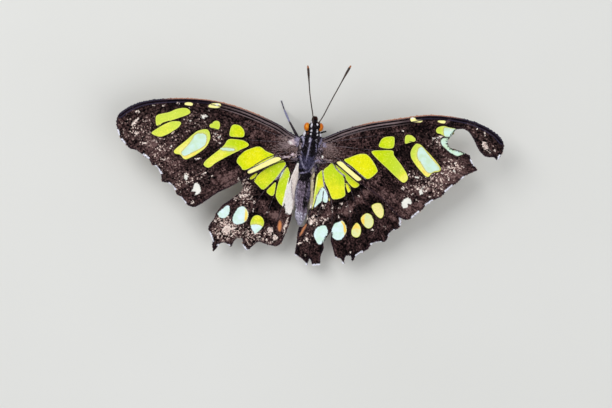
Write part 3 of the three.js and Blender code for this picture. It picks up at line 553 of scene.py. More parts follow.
class Finish:
    """A material and the nodes that make it."""

    def __init__(self, name):
        self.material = bpy.data.materials.new(name)
        self.material.use_nodes = True
        self.nodes = self.material.node_tree.nodes
        self.links = self.material.node_tree.links
        self.nodes.clear()
        self.shader = self.nodes.new("ShaderNodeBsdfPrincipled")
        out = self.nodes.new("ShaderNodeOutputMaterial")
        self.links.new(self.shader.outputs["BSDF"], out.inputs["Surface"])
        self.place = self.node("ShaderNodeTexCoord", {}, {}, "Object")

    def node(self, kind, settings, inputs, output=0):
        made = self.nodes.new(kind)
        for key, value in settings.items():
            setattr(made, key, value)
        self.feed(made, inputs)
        return Socket(self, made.outputs[output])

    def feed(self, made, inputs):
        for key, value in inputs.items():
            if isinstance(value, Socket):
                self.links.new(value.socket, made.inputs[key])
            elif isinstance(value, tuple) and len(value) == 3 and made.inputs[key].type == "RGBA":
                made.inputs[key].default_value = (*value, 1.0)
            else:
                made.inputs[key].default_value = value

    def attribute(self, name):
        return self.node("ShaderNodeAttribute", {"attribute_name": name}, {}, "Fac")

    def noise(self, size, detail, seed):
        """Noise with features of that size in millimetres, 0 to 1."""
        return self.node("ShaderNodeTexNoise", {"noise_dimensions": "4D"},
                         {"Vector": self.place, "Scale": 1 / (size * MM), "Detail": detail, "W": seed})

    def cells(self, size):
        return self.node("ShaderNodeTexVoronoi", {},
                         {"Vector": self.place, "Scale": 1 / (size * MM)}, "Distance")

    def mix(self, part, a, b):
        return self.node("ShaderNodeMix", {"data_type": "RGBA"}, {0: part, 6: a, 7: b}, 2)

    def layers(self, base, *coats):
        """Colours laid over a base one after another, each as its mask and its colour."""
        for mask, colour in coats:
            base = self.mix(mask, base, colour)
        return base

    def bump(self, height, distance, strength):
        return self.node("ShaderNodeBump", {},
                         {"Height": height, "Distance": distance * MM, "Strength": strength})

    def finish(self, **inputs):
        self.feed(self.shader, {key.replace("_", " "): value for key, value in inputs.items()})
        return self.material


def rgb(r, g, b):
    """Screen colour 0 to 255 as the renderer's linear colour."""
    def linear(v):
        v /= 255
        return v / 12.92 if v <= 0.04045 else ((v + 0.055) / 1.055) ** 2.4
    return (linear(r), linear(g), linear(b))


# ---- finishes ----
class WingFinish(Finish):
    """Scaled wing: brown ground with worn flecks, then the pale and green patches and the veins."""

    def __init__(self, name, upper):
        super().__init__(name)
        self.upper = upper
        self.ragged = self.noise(0.35, 4, 1.3) - 0.5
        self.cloud = self.noise(1.3, 4, 2.0)
        self.grain = self.noise(0.4, 3, 3.0)
        self.tint, self.edge, self.vein = (self.attribute(key) for key in ("tint", "edge", "vein"))
        self.reach, self.front, self.fold = (self.attribute(key) for key in ("reach", "front", "fold"))
        self.hind = self.front.step(60.0, 80.0)
        self.speckle = self.cloud.step(0.35, 0.65)

    def patch(self, key, share):
        """A marking's field with a ragged edge."""
        return self.attribute(key) + self.ragged * share

    def ground(self):
        """Brown ground, flecks, the streaked front strip and tip, dark veins and margin."""
        worn = self.attribute("worn")
        fine = self.noise(0.7, 1, 5.5)
        if self.upper:
            dark, mid, warm = rgb(2, 1, 2), rgb(56, 38, 38), rgb(108, 84, 82)
            flecks = self.mix(fine.step(0.38, 0.62), rgb(140, 116, 110), rgb(234, 212, 200))
        else:
            dark, mid, warm = rgb(96, 62, 40), rgb(150, 104, 70), rgb(196, 150, 108)
            flecks = self.mix(fine.step(0.4, 0.62), rgb(196, 164, 130), rgb(232, 222, 206))
        shade = self.cloud * 2.2 + self.noise(5.0, 2, 4.0) * 0.6 + self.tint * 0.7
        shade = shade + (self.grain - 0.5) * (2.1 - self.hind * 0.9) + 1.05 + self.attribute("tone") * 0.46
        mottle = self.noise(0.45, 2, 6.4) + self.tint * 0.16
        specks = self.tint + self.noise(0.55, 3, 9.0) * 0.5 + self.cloud * 0.6
        specks = specks + self.grain * 0.3 + worn * 0.42
        streak = (self.front * 8.5).math("SINE") * 0.5 + 0.5 + (self.cloud - 0.5) * 0.8
        strip = (1.8 - self.front).step(0.0, 0.3) * (1.0 - self.reach.step(0.62, 0.86))
        tip_band = (1.3 - self.front).step(0.0, 0.4) * self.reach.step(0.72, 0.9)
        bright_vein = self.mix(self.reach.step(0.3, 0.6), rgb(120, 106, 112), rgb(34, 23, 27))
        salmon = self.mix(self.reach.step(0.3, 0.5) * (1.0 - self.reach.step(1.1, 1.25)),
                          rgb(46, 44, 58), rgb(176, 128, 106))
        return self.layers(
            self.mix(shade.step(2.68, 3.1), dark, mid),
            (shade.step(3.08, 3.7), warm),
            (mottle.step(0.5, 0.68) * (worn * 0.5 + 0.08), warm),
            (specks.step(1.86, 2.0) * 0.9, flecks),
            (strip * 0.9, self.mix(streak.step(0.25, 0.8), rgb(8, 4, 7), rgb(126, 110, 112))),
            (tip_band * 0.85, self.mix(streak.step(0.3, 0.9), rgb(6, 4, 10), rgb(50, 44, 62))),
            ((0.3 - self.vein).step(0.0, 0.2) * 0.5, dark),
            ((0.11 - self.vein + self.ragged * 0.08).step(0.0, 0.06) * 0.7, bright_vein),
            ((0.5 - self.edge + self.ragged * 0.4).step(0.0, 0.35) * 0.6,
             rgb(40, 30, 40) if self.upper else rgb(188, 170, 165)),
            ((0.25 - self.front).step(0.0, 0.1), salmon))

    def greens_and_blues(self, aqua):
        """Colours of the lime and aqua patches, chalkier towards the margin."""
        hue = self.attribute("yellow") + (self.cloud - 0.5) * 0.6 + (self.tint - 0.5) * 0.25
        if not self.upper:
            return (self.mix(hue.step(0.0, 0.9), rgb(178, 200, 130), rgb(214, 218, 150)),
                    self.mix(self.speckle, rgb(206, 222, 200), rgb(226, 232, 222)))
        chalk = self.reach.step(0.5, 0.85) * 0.17 + aqua.step(-0.9, 0.0) * 0.2 + self.hind * 0.03
        chalk = chalk + hue.step(0.6, 1.1) * self.reach.step(0.5, 0.7) * 0.22
        sunny = (self.grain * 0.6 + self.cloud * 0.5 + self.tint * 0.3).step(0.75, 1.05)
        greens = self.layers(
            self.mix(hue.step(0.0, 0.9), rgb(193, 218, 16), rgb(233, 231, 24)),
            (hue.step(1.05, 1.5), rgb(240, 230, 146)),
            (hue.step(1.75, 2.1), rgb(214, 226, 172)),
            (sunny * 0.35, rgb(240, 238, 140)),
            ((1.0 - self.tint) * 0.2, rgb(150, 168, 10)),
            (chalk, rgb(246, 238, 176)))
        blues = self.layers(
            self.mix(self.speckle, rgb(198, 224, 194), rgb(206, 232, 222)),
            (self.hind * 0.7, self.mix(self.speckle, rgb(208, 236, 226), rgb(226, 242, 250))))
        return greens, blues

    def made(self):
        """The finished material."""
        cloud, tint = self.cloud, self.tint
        lime, aqua, gold = self.patch("lime", 0.14), self.patch("aqua", 0.5), self.patch("gold", 0.2)
        cream, rust, lilac = self.patch("cream", 0.12), self.patch("rust", 0.3), self.patch("lilac", 0.12)
        pale = self.patch("pale", 0.8) + (tint - 0.5) * 0.35
        white = self.patch("white", 0.5) + (tint - 0.5) * 0.16
        greens, blues = self.greens_and_blues(aqua)
        creams = self.mix(self.fold, rgb(246, 240, 160),
                          self.mix(cloud, rgb(226, 218, 212), rgb(246, 244, 240)))
        rusts = self.mix(rust.step(0.15, 0.45), rgb(150, 100, 76),
                         self.mix(cloud.step(0.3, 0.6), rgb(164, 92, 52), rgb(208, 136, 86)))
        thread = self.mix(tint, rgb(122, 112, 134), rgb(196, 188, 208)) if self.upper else rgb(200, 190, 180)
        white_scales = self.mix(self.edge.step(0.4, 0.6), rgb(232, 232, 244),
                                self.mix(cloud, rgb(206, 204, 196), rgb(248, 248, 240)))
        on_patch = (lime.step(0.0, 0.1) + aqua.step(0.0, 0.1) + cream.step(0.0, 0.1)).math("MINIMUM", 1.0)
        dark_vein = (0.17 - self.vein + self.ragged * 0.06).step(0.0, 0.07) * on_patch * (1.0 - self.fold)
        colour = self.layers(
            self.ground(),
            (lime.step(-0.16, -0.02), rgb(5, 2, 5) if self.upper else rgb(90, 58, 36)),
            (lime.step(0.0, 0.1), self.mix(lime.step(0.06, 0.24), rgb(224, 228, 112), greens)),
            (aqua.step(-0.16, -0.05) * lime.step(0.08, 0.2) * 0.55, rgb(170, 150, 88)),
            (aqua.step(0.0, 0.2), blues),
            (gold.step(0.0, 0.3), self.mix(self.speckle, rgb(248, 206, 84), rgb(242, 226, 122))),
            (cream.step(0.0, 0.14), creams),
            (rust.step(0.0, 0.2), rusts),
            (pale.step(0.0, 0.25), self.mix(tint, rgb(178, 152, 144), rgb(242, 228, 218))),
            (dark_vein, rgb(72, 62, 66)),
            (lilac.step(0.0, 0.12) * 0.85, thread),
            (white.step(-0.04, 0.2), white_scales))
        relief = self.grain * 0.5 + cloud * 0.5 + self.cells(0.16) * 0.4
        return self.finish(Base_Color=colour, Roughness=0.62 + self.grain * 0.25,
                           Normal=self.bump(relief, 0.05, 0.6), Specular_IOR_Level=0.02)


def hair_finish(name):
    """Body skin and hair: black-brown with lilac lines, white dots and pale underside."""
    f = Finish(name)
    tint = f.attribute("tint")
    grain = f.noise(0.35, 3, 5.0)
    ragged = grain - 0.5
    clumps = f.noise(0.8, 2, 2.5)
    tail = f.attribute("tail") + (tint - 0.5) * 0.5 + (clumps - 0.5)
    blue = f.attribute("blue") + (tint - 0.5) * 0.4 + (clumps - 0.5)
    shoulder = f.attribute("shoulder") + (tint - 0.5) * 0.5
    lilac = f.attribute("lilac") + ragged * 0.2
    under = f.attribute("under") + ragged * 0.3
    colour = f.layers(
        f.mix((tint * 0.7 + grain * 0.5).step(0.5, 1.15), rgb(5, 3, 6), rgb(44, 35, 46)),
        (tail.step(0.15, 0.75), f.mix(tint, rgb(78, 66, 84), rgb(166, 148, 168))),
        (blue.step(0.2, 1.0) * 0.6, f.mix(tint, rgb(28, 24, 44), rgb(108, 104, 142))),
        (tail.step(0.95, 1.7), f.mix(tint, rgb(146, 140, 162), rgb(230, 226, 242))),
        # lighter shoulder hair, held back where painted shade darkens the hollows by the wing roots
        (shoulder.step(0.3, 0.8),
         f.mix((tint + clumps - 0.5).step(0.35, 0.8), rgb(46, 35, 42), rgb(168, 150, 162))),
        (lilac.step(-0.06, 0.12), f.mix(tint, rgb(104, 96, 132), rgb(172, 166, 196))),
        (lilac.step(0.12, 0.24), rgb(226, 222, 238)),
        (under.step(0.2, 0.8), f.mix(tint, rgb(150, 138, 126), rgb(214, 206, 192))),
        ((f.attribute("rust") + ragged * 0.3).step(0.0, 0.2), rgb(96, 54, 42)),
        ((f.attribute("dot") + ragged * 0.1).step(-0.06, 0.06), rgb(238, 236, 246)))
    return f.finish(Base_Color=colour, Roughness=0.66, Normal=f.bump(grain, 0.04, 0.5),
                    Specular_IOR_Level=0.08, Sheen_Weight=0.03, Sheen_Roughness=0.35)


def fuzz_finish(name):
    """Long soft hair over the wing roots and along the inner folds."""
    f = Finish(name)
    tint, lilac, fold = f.attribute("tint"), f.attribute("lilac"), f.attribute("fold")
    pink = f.mix(tint, rgb(150, 130, 142), rgb(246, 226, 232))
    brown = f.mix(tint, rgb(46, 33, 35), rgb(146, 122, 118))
    # slate: the hair's own colour at the wing roots, and painted shade on the folds next to the abdomen
    slate_and_painted_shade = f.mix(tint, rgb(84, 76, 94), rgb(170, 160, 184))
    beige = f.mix(tint, rgb(158, 144, 118), rgb(216, 204, 170))
    rose = f.mix(tint, rgb(206, 192, 184), rgb(246, 236, 230))
    ivory = f.mix(tint, rgb(222, 216, 212), rgb(250, 247, 244))
    colour = f.layers(
        f.mix(lilac.step(0.2, 0.8), brown, pink),
        (lilac.step(-0.2, -0.8), slate_and_painted_shade),
        (fold.step(0.1, 0.4), beige),
        (fold.step(0.6, 0.9), ivory),
        (fold.step(-0.2, -0.8), rose))
    return f.finish(Base_Color=colour, Roughness=0.7,
                    Specular_IOR_Level=0.1, Sheen_Weight=0.2, Sheen_Roughness=0.4)


def eye_finish():
    f = Finish("orange_eye")
    cells = f.cells(0.11)
    colour = f.layers(
        f.mix(f.noise(0.9, 2, 2.0).step(0.35, 0.7), rgb(206, 104, 0), rgb(232, 150, 14)),
        (f.noise(0.45, 3, 7.0).step(0.62, 0.7) * 0.7, rgb(120, 52, 10)),
        (cells.step(0.35, 0.6) * 0.35, rgb(140, 60, 10)))
    return f.finish(Base_Color=colour, Roughness=0.28, Normal=f.bump(1.0 - cells, 0.03, 0.6),
                    Coat_Weight=0.12, Coat_Roughness=0.12, Specular_IOR_Level=0.25)


def horn_finish(name, dark, light, rough):
    """Bare horn, lighter where the band attribute is high."""
    f = Finish(name)
    grain = f.noise(0.3, 4, 6.0)
    colour = f.mix((grain * 0.7 + f.attribute("band")).step(0.25, 1.1), dark, light)
    return f.finish(Base_Color=colour, Roughness=rough + grain * 0.15, Normal=f.bump(grain, 0.03, 0.5),
                    Specular_IOR_Level=0.4)


def floor_finish():
    f = Finish("pale_floor")
    colour = f.mix(f.noise(60.0, 3, 1.0), rgb(206, 206, 202), rgb(212, 212, 209))
    return f.finish(Base_Color=colour, Roughness=0.8)


WING_UPPER = WingFinish("wing_scales_upper", True).made()
WING_UNDER = WingFinish("wing_scales_under", False).made()
BODY_HAIR = hair_finish("body_hair")
ROOT_FUZZ = fuzz_finish("root_fuzz")
EYE = eye_finish()
LEG = horn_finish("leg_scales", rgb(34, 20, 22), rgb(124, 124, 158), 0.6)
ANTENNA = horn_finish("feeler", rgb(16, 13, 14), rgb(150, 92, 54), 0.5)
HORN = horn_finish("tongue_horn", rgb(28, 18, 14), rgb(96, 60, 36), 0.4)


# ---- mesh helpers ----
def new_piece(name, vertices, faces, materials, attributes, smooth=True):
    """Mesh object from millimetre vertices and rows of corners."""
    mesh = bpy.data.meshes.new(name)
    vertices = np.asarray(vertices, float) * MM
    mesh.vertices.add(len(vertices))
    mesh.vertices.foreach_set("co", vertices.astype(np.float32).ravel())
    mesh.loops.add(faces.size)
    mesh.loops.foreach_set("vertex_index", faces.astype(np.int32).ravel())
    mesh.polygons.add(len(faces))
    mesh.polygons.foreach_set("loop_start", np.arange(0, faces.size, faces.shape[1], dtype=np.int32))
    mesh.update(calc_edges=True)
    for material in materials:
        mesh.materials.append(material)
    mesh.polygons.foreach_set("use_smooth", np.full(len(mesh.polygons), smooth))
    mesh.validate()
    piece = bpy.data.objects.new(name, mesh)
    bpy.context.scene.collection.objects.link(piece)
    set_attributes(piece, attributes)
    return piece


def set_attributes(piece, attributes):
    for key, values in attributes.items():
        layer = piece.data.attributes.new(key, "FLOAT", "POINT")
        layer.data.foreach_set("value", np.asarray(values, np.float32).ravel())


def coat_uv(piece, roots, patch):
    """OFBake map of a coat: a small patch round the root of each copy, one row of patch per vertex."""
    uv = np.repeat(roots, len(patch), 0) + COAT_PATCH * np.tile(patch, (len(roots), 1))
    layer = piece.data.uv_layers.new(name="OFBake")
    corners = np.empty(len(piece.data.loops), np.int32)
    piece.data.loops.foreach_get("vertex_index", corners)
    layer.data.foreach_set("uv", np.clip(uv, 0.0005, 0.9995).astype(np.float32)[corners].ravel())


def rows_of(items, field):
    """Places or normals of all vertices or faces, one row each."""
    values = np.empty(len(items) * 3)
    items.foreach_get(field, values)
    return values.reshape(-1, 3)


def choose(pieces):
    """Select these objects only; the first is the active one."""
    bpy.ops.object.select_all(action="DESELECT")
    for piece in pieces:
        piece.select_set(True)
    bpy.context.view_layer.objects.active = pieces[0]


def shape_with(piece, kind, **settings):
    """Give a piece a modifier and apply it."""
    choose([piece])
    modifier = piece.modifiers.new(kind.lower(), kind)
    for key, value in settings.items():
        setattr(modifier, key, value)
    bpy.ops.object.modifier_apply(modifier=modifier.name)


def joined(name, pieces):
    """One object from several."""
    choose(pieces)
    if len(pieces) > 1:
        bpy.ops.object.join()
    piece = bpy.context.object
    piece.name = piece.data.name = name
    return piece


def dress(piece, material, nodes=(), smooth=True):
    """Material, body, slot and the nodes that a finished piece stands for."""
    while piece.data.uv_layers:
        piece.data.uv_layers.remove(piece.data.uv_layers[0])
    piece.data.materials.clear()
    piece.data.materials.append(material)
    piece.data.polygons.foreach_set("use_smooth", np.full(len(piece.data.polygons), smooth))
    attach(piece, "root")
    if nodes:
        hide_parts(*nodes)
    return piece


def node_mesh(name):
    """Editable mesh of a CAD node, doubles merged."""
    made = bmesh.new()
    made.from_mesh(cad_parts[name].data)
    bmesh.ops.remove_doubles(made, verts=made.verts, dist=1e-7)
    bmesh.ops.recalc_face_normals(made, faces=made.faces)
    return made


def upper_rim(name):
    """Outline of a wing solid's upper face, as an ordered closed loop in plan, counter-clockwise."""
    made = node_mesh(name)
    following = {}
    for edge in made.edges:
        if len(edge.link_faces) != 2:
            continue
        tilt = [face.normal.z for face in edge.link_faces]
        if max(tilt) > 0.6 and abs(min(tilt, key=abs)) < 0.3:
            a, b = edge.verts
            following.setdefault(a.index, []).append(b.index)
            following.setdefault(b.index, []).append(a.index)
    made.verts.ensure_lookup_table()
    start = min(following)
    loop, before = [start], None
    while True:
        options = [i for i in following[loop[-1]] if i != before]
        if not options or options[0] == start or len(loop) > len(following):
            break
        before = loop[-1]
        loop.append(options[0])
    points = np.array([made.verts[i].co[:2] for i in loop]) / MM
    made.free()
    area = np.sum(points[:, 0] * np.roll(points[:, 1], -1) - np.roll(points[:, 0], -1) * points[:, 1])
    points = points if area > 0 else points[::-1]
    gap = np.linalg.norm(points - np.roll(points, 1, 0), axis=1)
    return points[gap > 1e-3]


# ---- wings ----
class Wing:
    """One wing: its outline from the CAD solid, its surface and its markings."""

    def __init__(self, name, marks, height, root):
        self.name = name
        self.height = height
        self.root = np.array(root, float)
        self.rim = upper_rim(name)
        self.veins = [smooth_line(line, 3) for line in marks["vein"]]
        self.loops = {key: [outline(mark) for mark in marks.get(key, [])]
                      for key in ("lime", "aqua", "gold", "cream", "pale", "rust", "white")}
        thread = FOREWING_THREAD if "front" in marks else HINDWING_THREAD
        self.lilac = [(thread, smooth_line(line, 3)) for line in marks["lilac"]]
        self.patch_hue = marks.get("patch_hue", {})
        self.fields = {key: marks[key] for key in ("worn", "tone", "yellow")}
        self.front = smooth_line(marks["front"], 3) if "front" in marks else None
        self.fringe = [(WHITE_FRINGE, np.array(ends, float)) for ends in marks["white_fringe"]]
        low, high = self.rim.min(0), self.rim.max(0)
        self.low, self.size = low, high - low

    def inside(self, xy):
        return loop_inside(xy, self.rim)

    def fold(self, xy):
        """1 near the body on a hindwing, where its white inner fold is."""
        reach = {"hindwing_left": 5.2, "hindwing_right": 2.36}.get(self.name, 0)
        return (np.abs(xy[:, 0] - BODY_X) < reach).astype(float)

    def vein_distance(self, xy):
        return near_only(xy, self.veins, line_distance, np.minimum, 2.0)

    def relief(self, xy, vein):
        """Raised veins and shallow pleats between them."""
        ridge = VEIN_RISE * np.exp(-(vein / 0.18) ** 2)
        pleat = 0.05 * np.cos(np.clip(vein, 0, 1.6) * math.pi / 1.6)
        wave = 0.03 * np.sin(xy[:, 0] * 0.9 + xy[:, 1] * 0.5) * np.sin(xy[:, 1] * 1.1 - xy[:, 0] * 0.3)
        return ridge + pleat + wave

    def surface(self, xy, vein=None):
        vein = self.vein_distance(xy) if vein is None else vein
        return self.height(xy[:, 0], xy[:, 1]) + self.relief(xy, vein)

    def marks(self, xy, vein=None, edge=None):
        """All marking attributes at plan points."""
        found = {key: near_only(xy, loops, loop_inside, np.maximum, -1.0)
                 for key, loops in self.loops.items()}
        found["vein"] = self.vein_distance(xy) if vein is None else vein
        found["edge"] = self.inside(xy) if edge is None else edge
        found["white"] = np.maximum(found["white"], threads(xy, self.fringe))
        found["lilac"] = threads(xy, self.lilac)
        for key, spots in self.fields.items():
            total = np.zeros(len(xy))
            for x, y, radius, strength in spots:
                total += strength * np.exp(-((xy[:, 0] - x) ** 2 + (xy[:, 1] - y) ** 2) / radius ** 2)
            found[key] = np.clip(total, -1.2, 2.3)
        for index, hue in self.patch_hue.items():
            found["yellow"][loop_inside(xy, self.loops["lime"][index]) > -0.3] = hue
        found["reach"] = np.linalg.norm(xy - self.root, axis=1) / 30
        found["front"] = np.full(len(xy), 99.0) if self.front is None else line_distance(xy, self.front)
        found["fold"] = self.fold(xy)
        return found

    def uv(self, xy):
        return 0.02 + 0.96 * (xy - self.low) / max(self.size)


def grid_points(wing, step, keep):
    """Triangular grid of plan points inside the outline by more than keep."""
    xs = np.arange(wing.low[0], wing.low[0] + wing.size[0], step)
    ys = np.arange(wing.low[1], wing.low[1] + wing.size[1], step * 0.866)
    rows = [np.column_stack([xs + (0.5 * step if i % 2 else 0), np.full(len(xs), y)])
            for i, y in enumerate(ys)]
    points = np.vstack(rows)
    edge = wing.inside(points)
    return points[edge > keep], edge[edge > keep]


def membrane(wing):
    """Closed thin sheet that fills the outline."""
    inner, _ = grid_points(wing, MEMBRANE_STEP, 0.16)
    cloud = [Vector(p) for p in np.vstack([wing.rim, inner])]
    flat, _, triangles, *_ = delaunay_2d_cdt(cloud, [], [list(range(len(wing.rim)))], 1, 1e-5)
    xy = np.array([tuple(p) for p in flat])
    triangles = np.array([t for t in triangles if len(t) == 3])
    a, b, c = (xy[triangles[:, i]] for i in range(3))
    turned = np.cross(b - a, c - a) < 0
    triangles[turned] = triangles[turned][:, ::-1]
    vein = wing.vein_distance(xy)
    marks = wing.marks(xy, vein)
    marks["tint"] = np.full(len(xy), 0.35)
    piece = new_piece(wing.name + "_membrane", np.column_stack([xy, wing.surface(xy, vein)]), triangles,
                      [WING_UPPER, WING_UNDER], marks)
    shape_with(piece, "SOLIDIFY", thickness=MEMBRANE * MM, offset=0.0, material_offset=1)
    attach(piece, "root")
    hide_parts(wing.name)
    return piece


def scale_coat(wing, side, row, pitch):
    """Shingled wing scales: small shields that point from the root to the margin."""
    roots, edge = grid_points(wing, pitch, 0.12)
    roots = roots + RNG.normal(0, 0.05, roots.shape)
    count = len(roots)
    away = roots - wing.root
    heading = np.arctan2(away[:, 1], away[:, 0]) + RNG.normal(0, 0.14, count)
    along = np.column_stack([np.cos(heading), np.sin(heading)])
    across = np.column_stack([-along[:, 1], along[:, 0]])
    size = RNG.uniform(0.85, 1.15, count)
    length = row * 1.9 * size
    width = pitch * 0.68 * size
    shape = [(-0.5, 0.0, 0.0), (0.1, 0.9, 0.45), (0.5, 0.62, 1.0), (0.5, -0.62, 1.0), (0.1, -0.9, 0.45)]
    lift = RNG.uniform(0.03, 0.085, count)
    up = 1 if side == "upper" else -1
    layers = []
    for forward, sideways, rise in shape:
        xy = roots + along * (forward * length)[:, None] + across * (sideways * width)[:, None]
        layers.append((xy, 0.005 + rise * lift))
    layers.append((roots + along * (0.15 * length)[:, None], np.full(count, -0.03)))
    flat = np.stack([xy for xy, _ in layers], 1).reshape(-1, 2)
    over = np.stack([rise for _, rise in layers], 1).ravel()
    vein = wing.vein_distance(flat)
    z = wing.surface(flat, vein) + up * (MEMBRANE / 2 + over)
    fan = np.array([[0, 4, 3], [0, 3, 2], [0, 2, 1], [0, 5, 4], [4, 5, 3], [3, 5, 2], [2, 5, 1], [1, 5, 0]])
    faces = repeated(fan if up > 0 else fan[:, ::-1], 6, count)
    marks = wing.marks(flat, vein, np.repeat(edge, 6))
    marks["tint"] = np.repeat(RNG.uniform(0, 1, count), 6)
    piece = new_piece(f"{wing.name}_scales_{side}", np.column_stack([flat, z]), faces,
                      [WING_UPPER if up > 0 else WING_UNDER], marks, smooth=False)
    coat_uv(piece, wing.uv(roots), [(sideways, forward * 2) for forward, sideways, _ in shape] + [(0, 0)])
    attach(piece, "root")
    return piece


def fringe(wing):
    """Fine scales that stand out along the margin, white in the notches."""
    closed = np.vstack([wing.rim, wing.rim[:1]])
    stops = run_along(closed)
    places = np.arange(0, stops[-1], FRINGE_STEP)
    xy = between(closed, stops, places)
    ahead, behind = (between(closed, stops, (places + shift) % stops[-1]) for shift in (0.3, -0.3))
    tangent = ahead - behind
    tangent /= np.linalg.norm(tangent, axis=1)[:, None] + 1e-9
    out = np.column_stack([tangent[:, 1], -tangent[:, 0]])
    away = np.linalg.norm(xy - wing.root, axis=1) > 7
    xy, out, tangent = xy[away], out[away], tangent[away]
    count = len(xy)
    out = out + tangent * RNG.normal(0, 0.25, count)[:, None]
    length = RNG.uniform(0.28, 0.5, count)
    start = xy - out * (length * RNG.uniform(0.75, 1.0, count))[:, None]
    end = start + out * length[:, None]
    side = tangent * FRINGE_HALF_WIDTH
    flat = np.stack([start - side, start + side, end + side * 0.6, end - side * 0.6, (start + end) / 2],
                    1).reshape(-1, 2)
    rise = np.tile([0.03, 0.03, 0.02, 0.02, -0.07], count) + np.repeat(RNG.uniform(0.0, 0.06, count), 5)
    z = wing.surface(flat) + MEMBRANE / 2 + rise
    faces = repeated([(0, 3, 2), (0, 2, 1), (0, 1, 4), (1, 2, 4), (2, 3, 4), (3, 0, 4)], 5, count)
    marks = wing.marks(flat)
    marks["lime"][:] = -1
    marks["aqua"][:] = -1
    marks["tint"] = np.repeat(RNG.uniform(0, 1, count), 5)
    piece = new_piece(wing.name + "_fringe", np.column_stack([flat, z]), faces, [WING_UPPER], marks,
                      smooth=False)
    coat_uv(piece, wing.uv(xy), [(-1, -1), (1, -1), (1, 1), (-1, 1), (0, 0)])
    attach(piece, "root")
    return piece


WINGS = {wing.name: wing for wing in (
    Wing("forewing_left", FOREWING_LEFT, forewing_height, (-1, 4)),
    Wing("forewing_right", FOREWING_RIGHT, forewing_height, (2, 4)),
    Wing("hindwing_left", HINDWING_LEFT, hindwing_height, (-1.5, 0)),
    Wing("hindwing_right", HINDWING_RIGHT, hindwing_height, (2.5, 0)))}
for part in WINGS.values():
    membrane(part)
    scale_coat(part, "upper", SCALE_ROW, SCALE_PITCH)
    scale_coat(part, "under", SCALE_ROW * 1.4, SCALE_PITCH * 1.4)
    fringe(part)


# ---- tubes and hair ----
def tube(path, radii, sides=12, **marks):
    """Closed tube in millimetres: a filled circle drawn out, scaled and turned from ring to ring."""
    path = [Vector(point) for point in path]
    steps = [b - a for a, b in zip(path[:-1], path[1:])]
    facing = [a.normalized() + b.normalized() for a, b in zip(steps[:1] + steps, steps + steps[-1:])]
    bpy.ops.object.select_all(action="DESELECT")
    bpy.ops.mesh.primitive_circle_add(vertices=sides, radius=radii[0], fill_type="NGON", location=path[0],
                                      rotation=facing[0].to_track_quat("Z", "Y").to_euler())
    bpy.ops.object.mode_set(mode="EDIT")
    for i, step in enumerate(steps):
        here, growth = path[i + 1], radii[i + 1] / radii[i]
        bpy.ops.mesh.extrude_region_move(TRANSFORM_OT_translate={"value": step})
        bpy.ops.transform.resize(value=(growth, growth, growth), center_override=here)
        for axis, turn in zip("XYZ", facing[i].rotation_difference(facing[i + 1]).to_euler()):
            if abs(turn) > 1e-4:
                bpy.ops.transform.rotate(value=-turn, orient_axis=axis, center_override=here)
    bpy.ops.object.mode_set(mode="OBJECT")
    bpy.ops.object.transform_apply(location=True, rotation=True, scale=True)
    piece = bpy.context.object
    set_attributes(piece, {key: np.repeat(np.broadcast_to(value, len(path)), sides)
                           for key, value in marks.items()})
    return piece


def plain_piece(name, parts, material, node):
    """Drawn parts joined, brought from millimetres to metres and dressed."""
    piece = joined(name, parts)
    piece.data.transform(Matrix.Scale(MM, 4))
    return dress(piece, material, [node])


def unit(vectors):
    return vectors / (np.linalg.norm(vectors, axis=-1, keepdims=True) + 1e-12)


def hair(name, roots, normals, lie, length, width, marks, material, uv, rise=0.25, ridge=0.8):
    """Bent, pointed tufts that lie along the surface; uv is one place per root."""
    count = len(roots)
    length = np.broadcast_to(length, count)[:, None]
    width = np.broadcast_to(width, count)[:, None]
    rise = np.broadcast_to(rise, count)[:, None]
    flat = unit(lie - normals * np.sum(lie * normals, 1)[:, None])
    side = unit(np.cross(flat, normals))
    first = unit(flat + normals * rise)
    base = roots - normals * HAIR_SINK
    middle = base + first * length * 0.5
    tip = middle + unit(flat + normals * (rise * 0.2)) * length * 0.5
    top = unit(np.cross(side, first))
    ring = [top * ridge, side, -side]
    points = [base + r * width for r in ring] + [middle + r * width * 0.8 for r in ring] + [tip]
    vertices = np.stack(points, 1).reshape(-1, 3)
    faces = repeated([(0, 1, 4), (0, 4, 3), (1, 2, 5), (1, 5, 4), (2, 0, 3), (2, 3, 5),
                      (3, 4, 6), (4, 5, 6), (5, 3, 6), (0, 2, 1)], 7, count)
    spread = {key: np.repeat(values, 7) for key, values in marks.items()}
    piece = new_piece(name, vertices, faces, [material], spread, smooth=ridge > 0.5)
    coat_uv(piece, uv, [(-1, -1), (1, -1), (0, -1), (-1, 0), (1, 0), (0, 0), (0, 1)])
    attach(piece, "root")
    return piece


def bare_marks(count, tint):
    """Attributes of plain dark hair without any marking."""
    return {"tint": np.full(count, tint)} | {key: np.full(count, -1.0) for key in ("lilac", "dot", "rust")}


def round_core(path, radii, beside, step, angle, along, proud):
    """Roots and outward directions of hair round a core, by the share of its length and the angle."""
    stops = np.linspace(0, 1, len(path))
    one = unit(np.cross(along, beside))
    two = np.cross(along, one)
    out = np.cos(angle)[:, None] * one + np.sin(angle)[:, None] * two
    return between(path, stops, step) + out * (np.interp(step, stops, radii) * proud)[:, None], out


def unrolled(angle, step):
    """Map places for hair round a core."""
    return np.column_stack([0.03 + 0.94 * angle / math.tau, 0.03 + 0.94 * step])


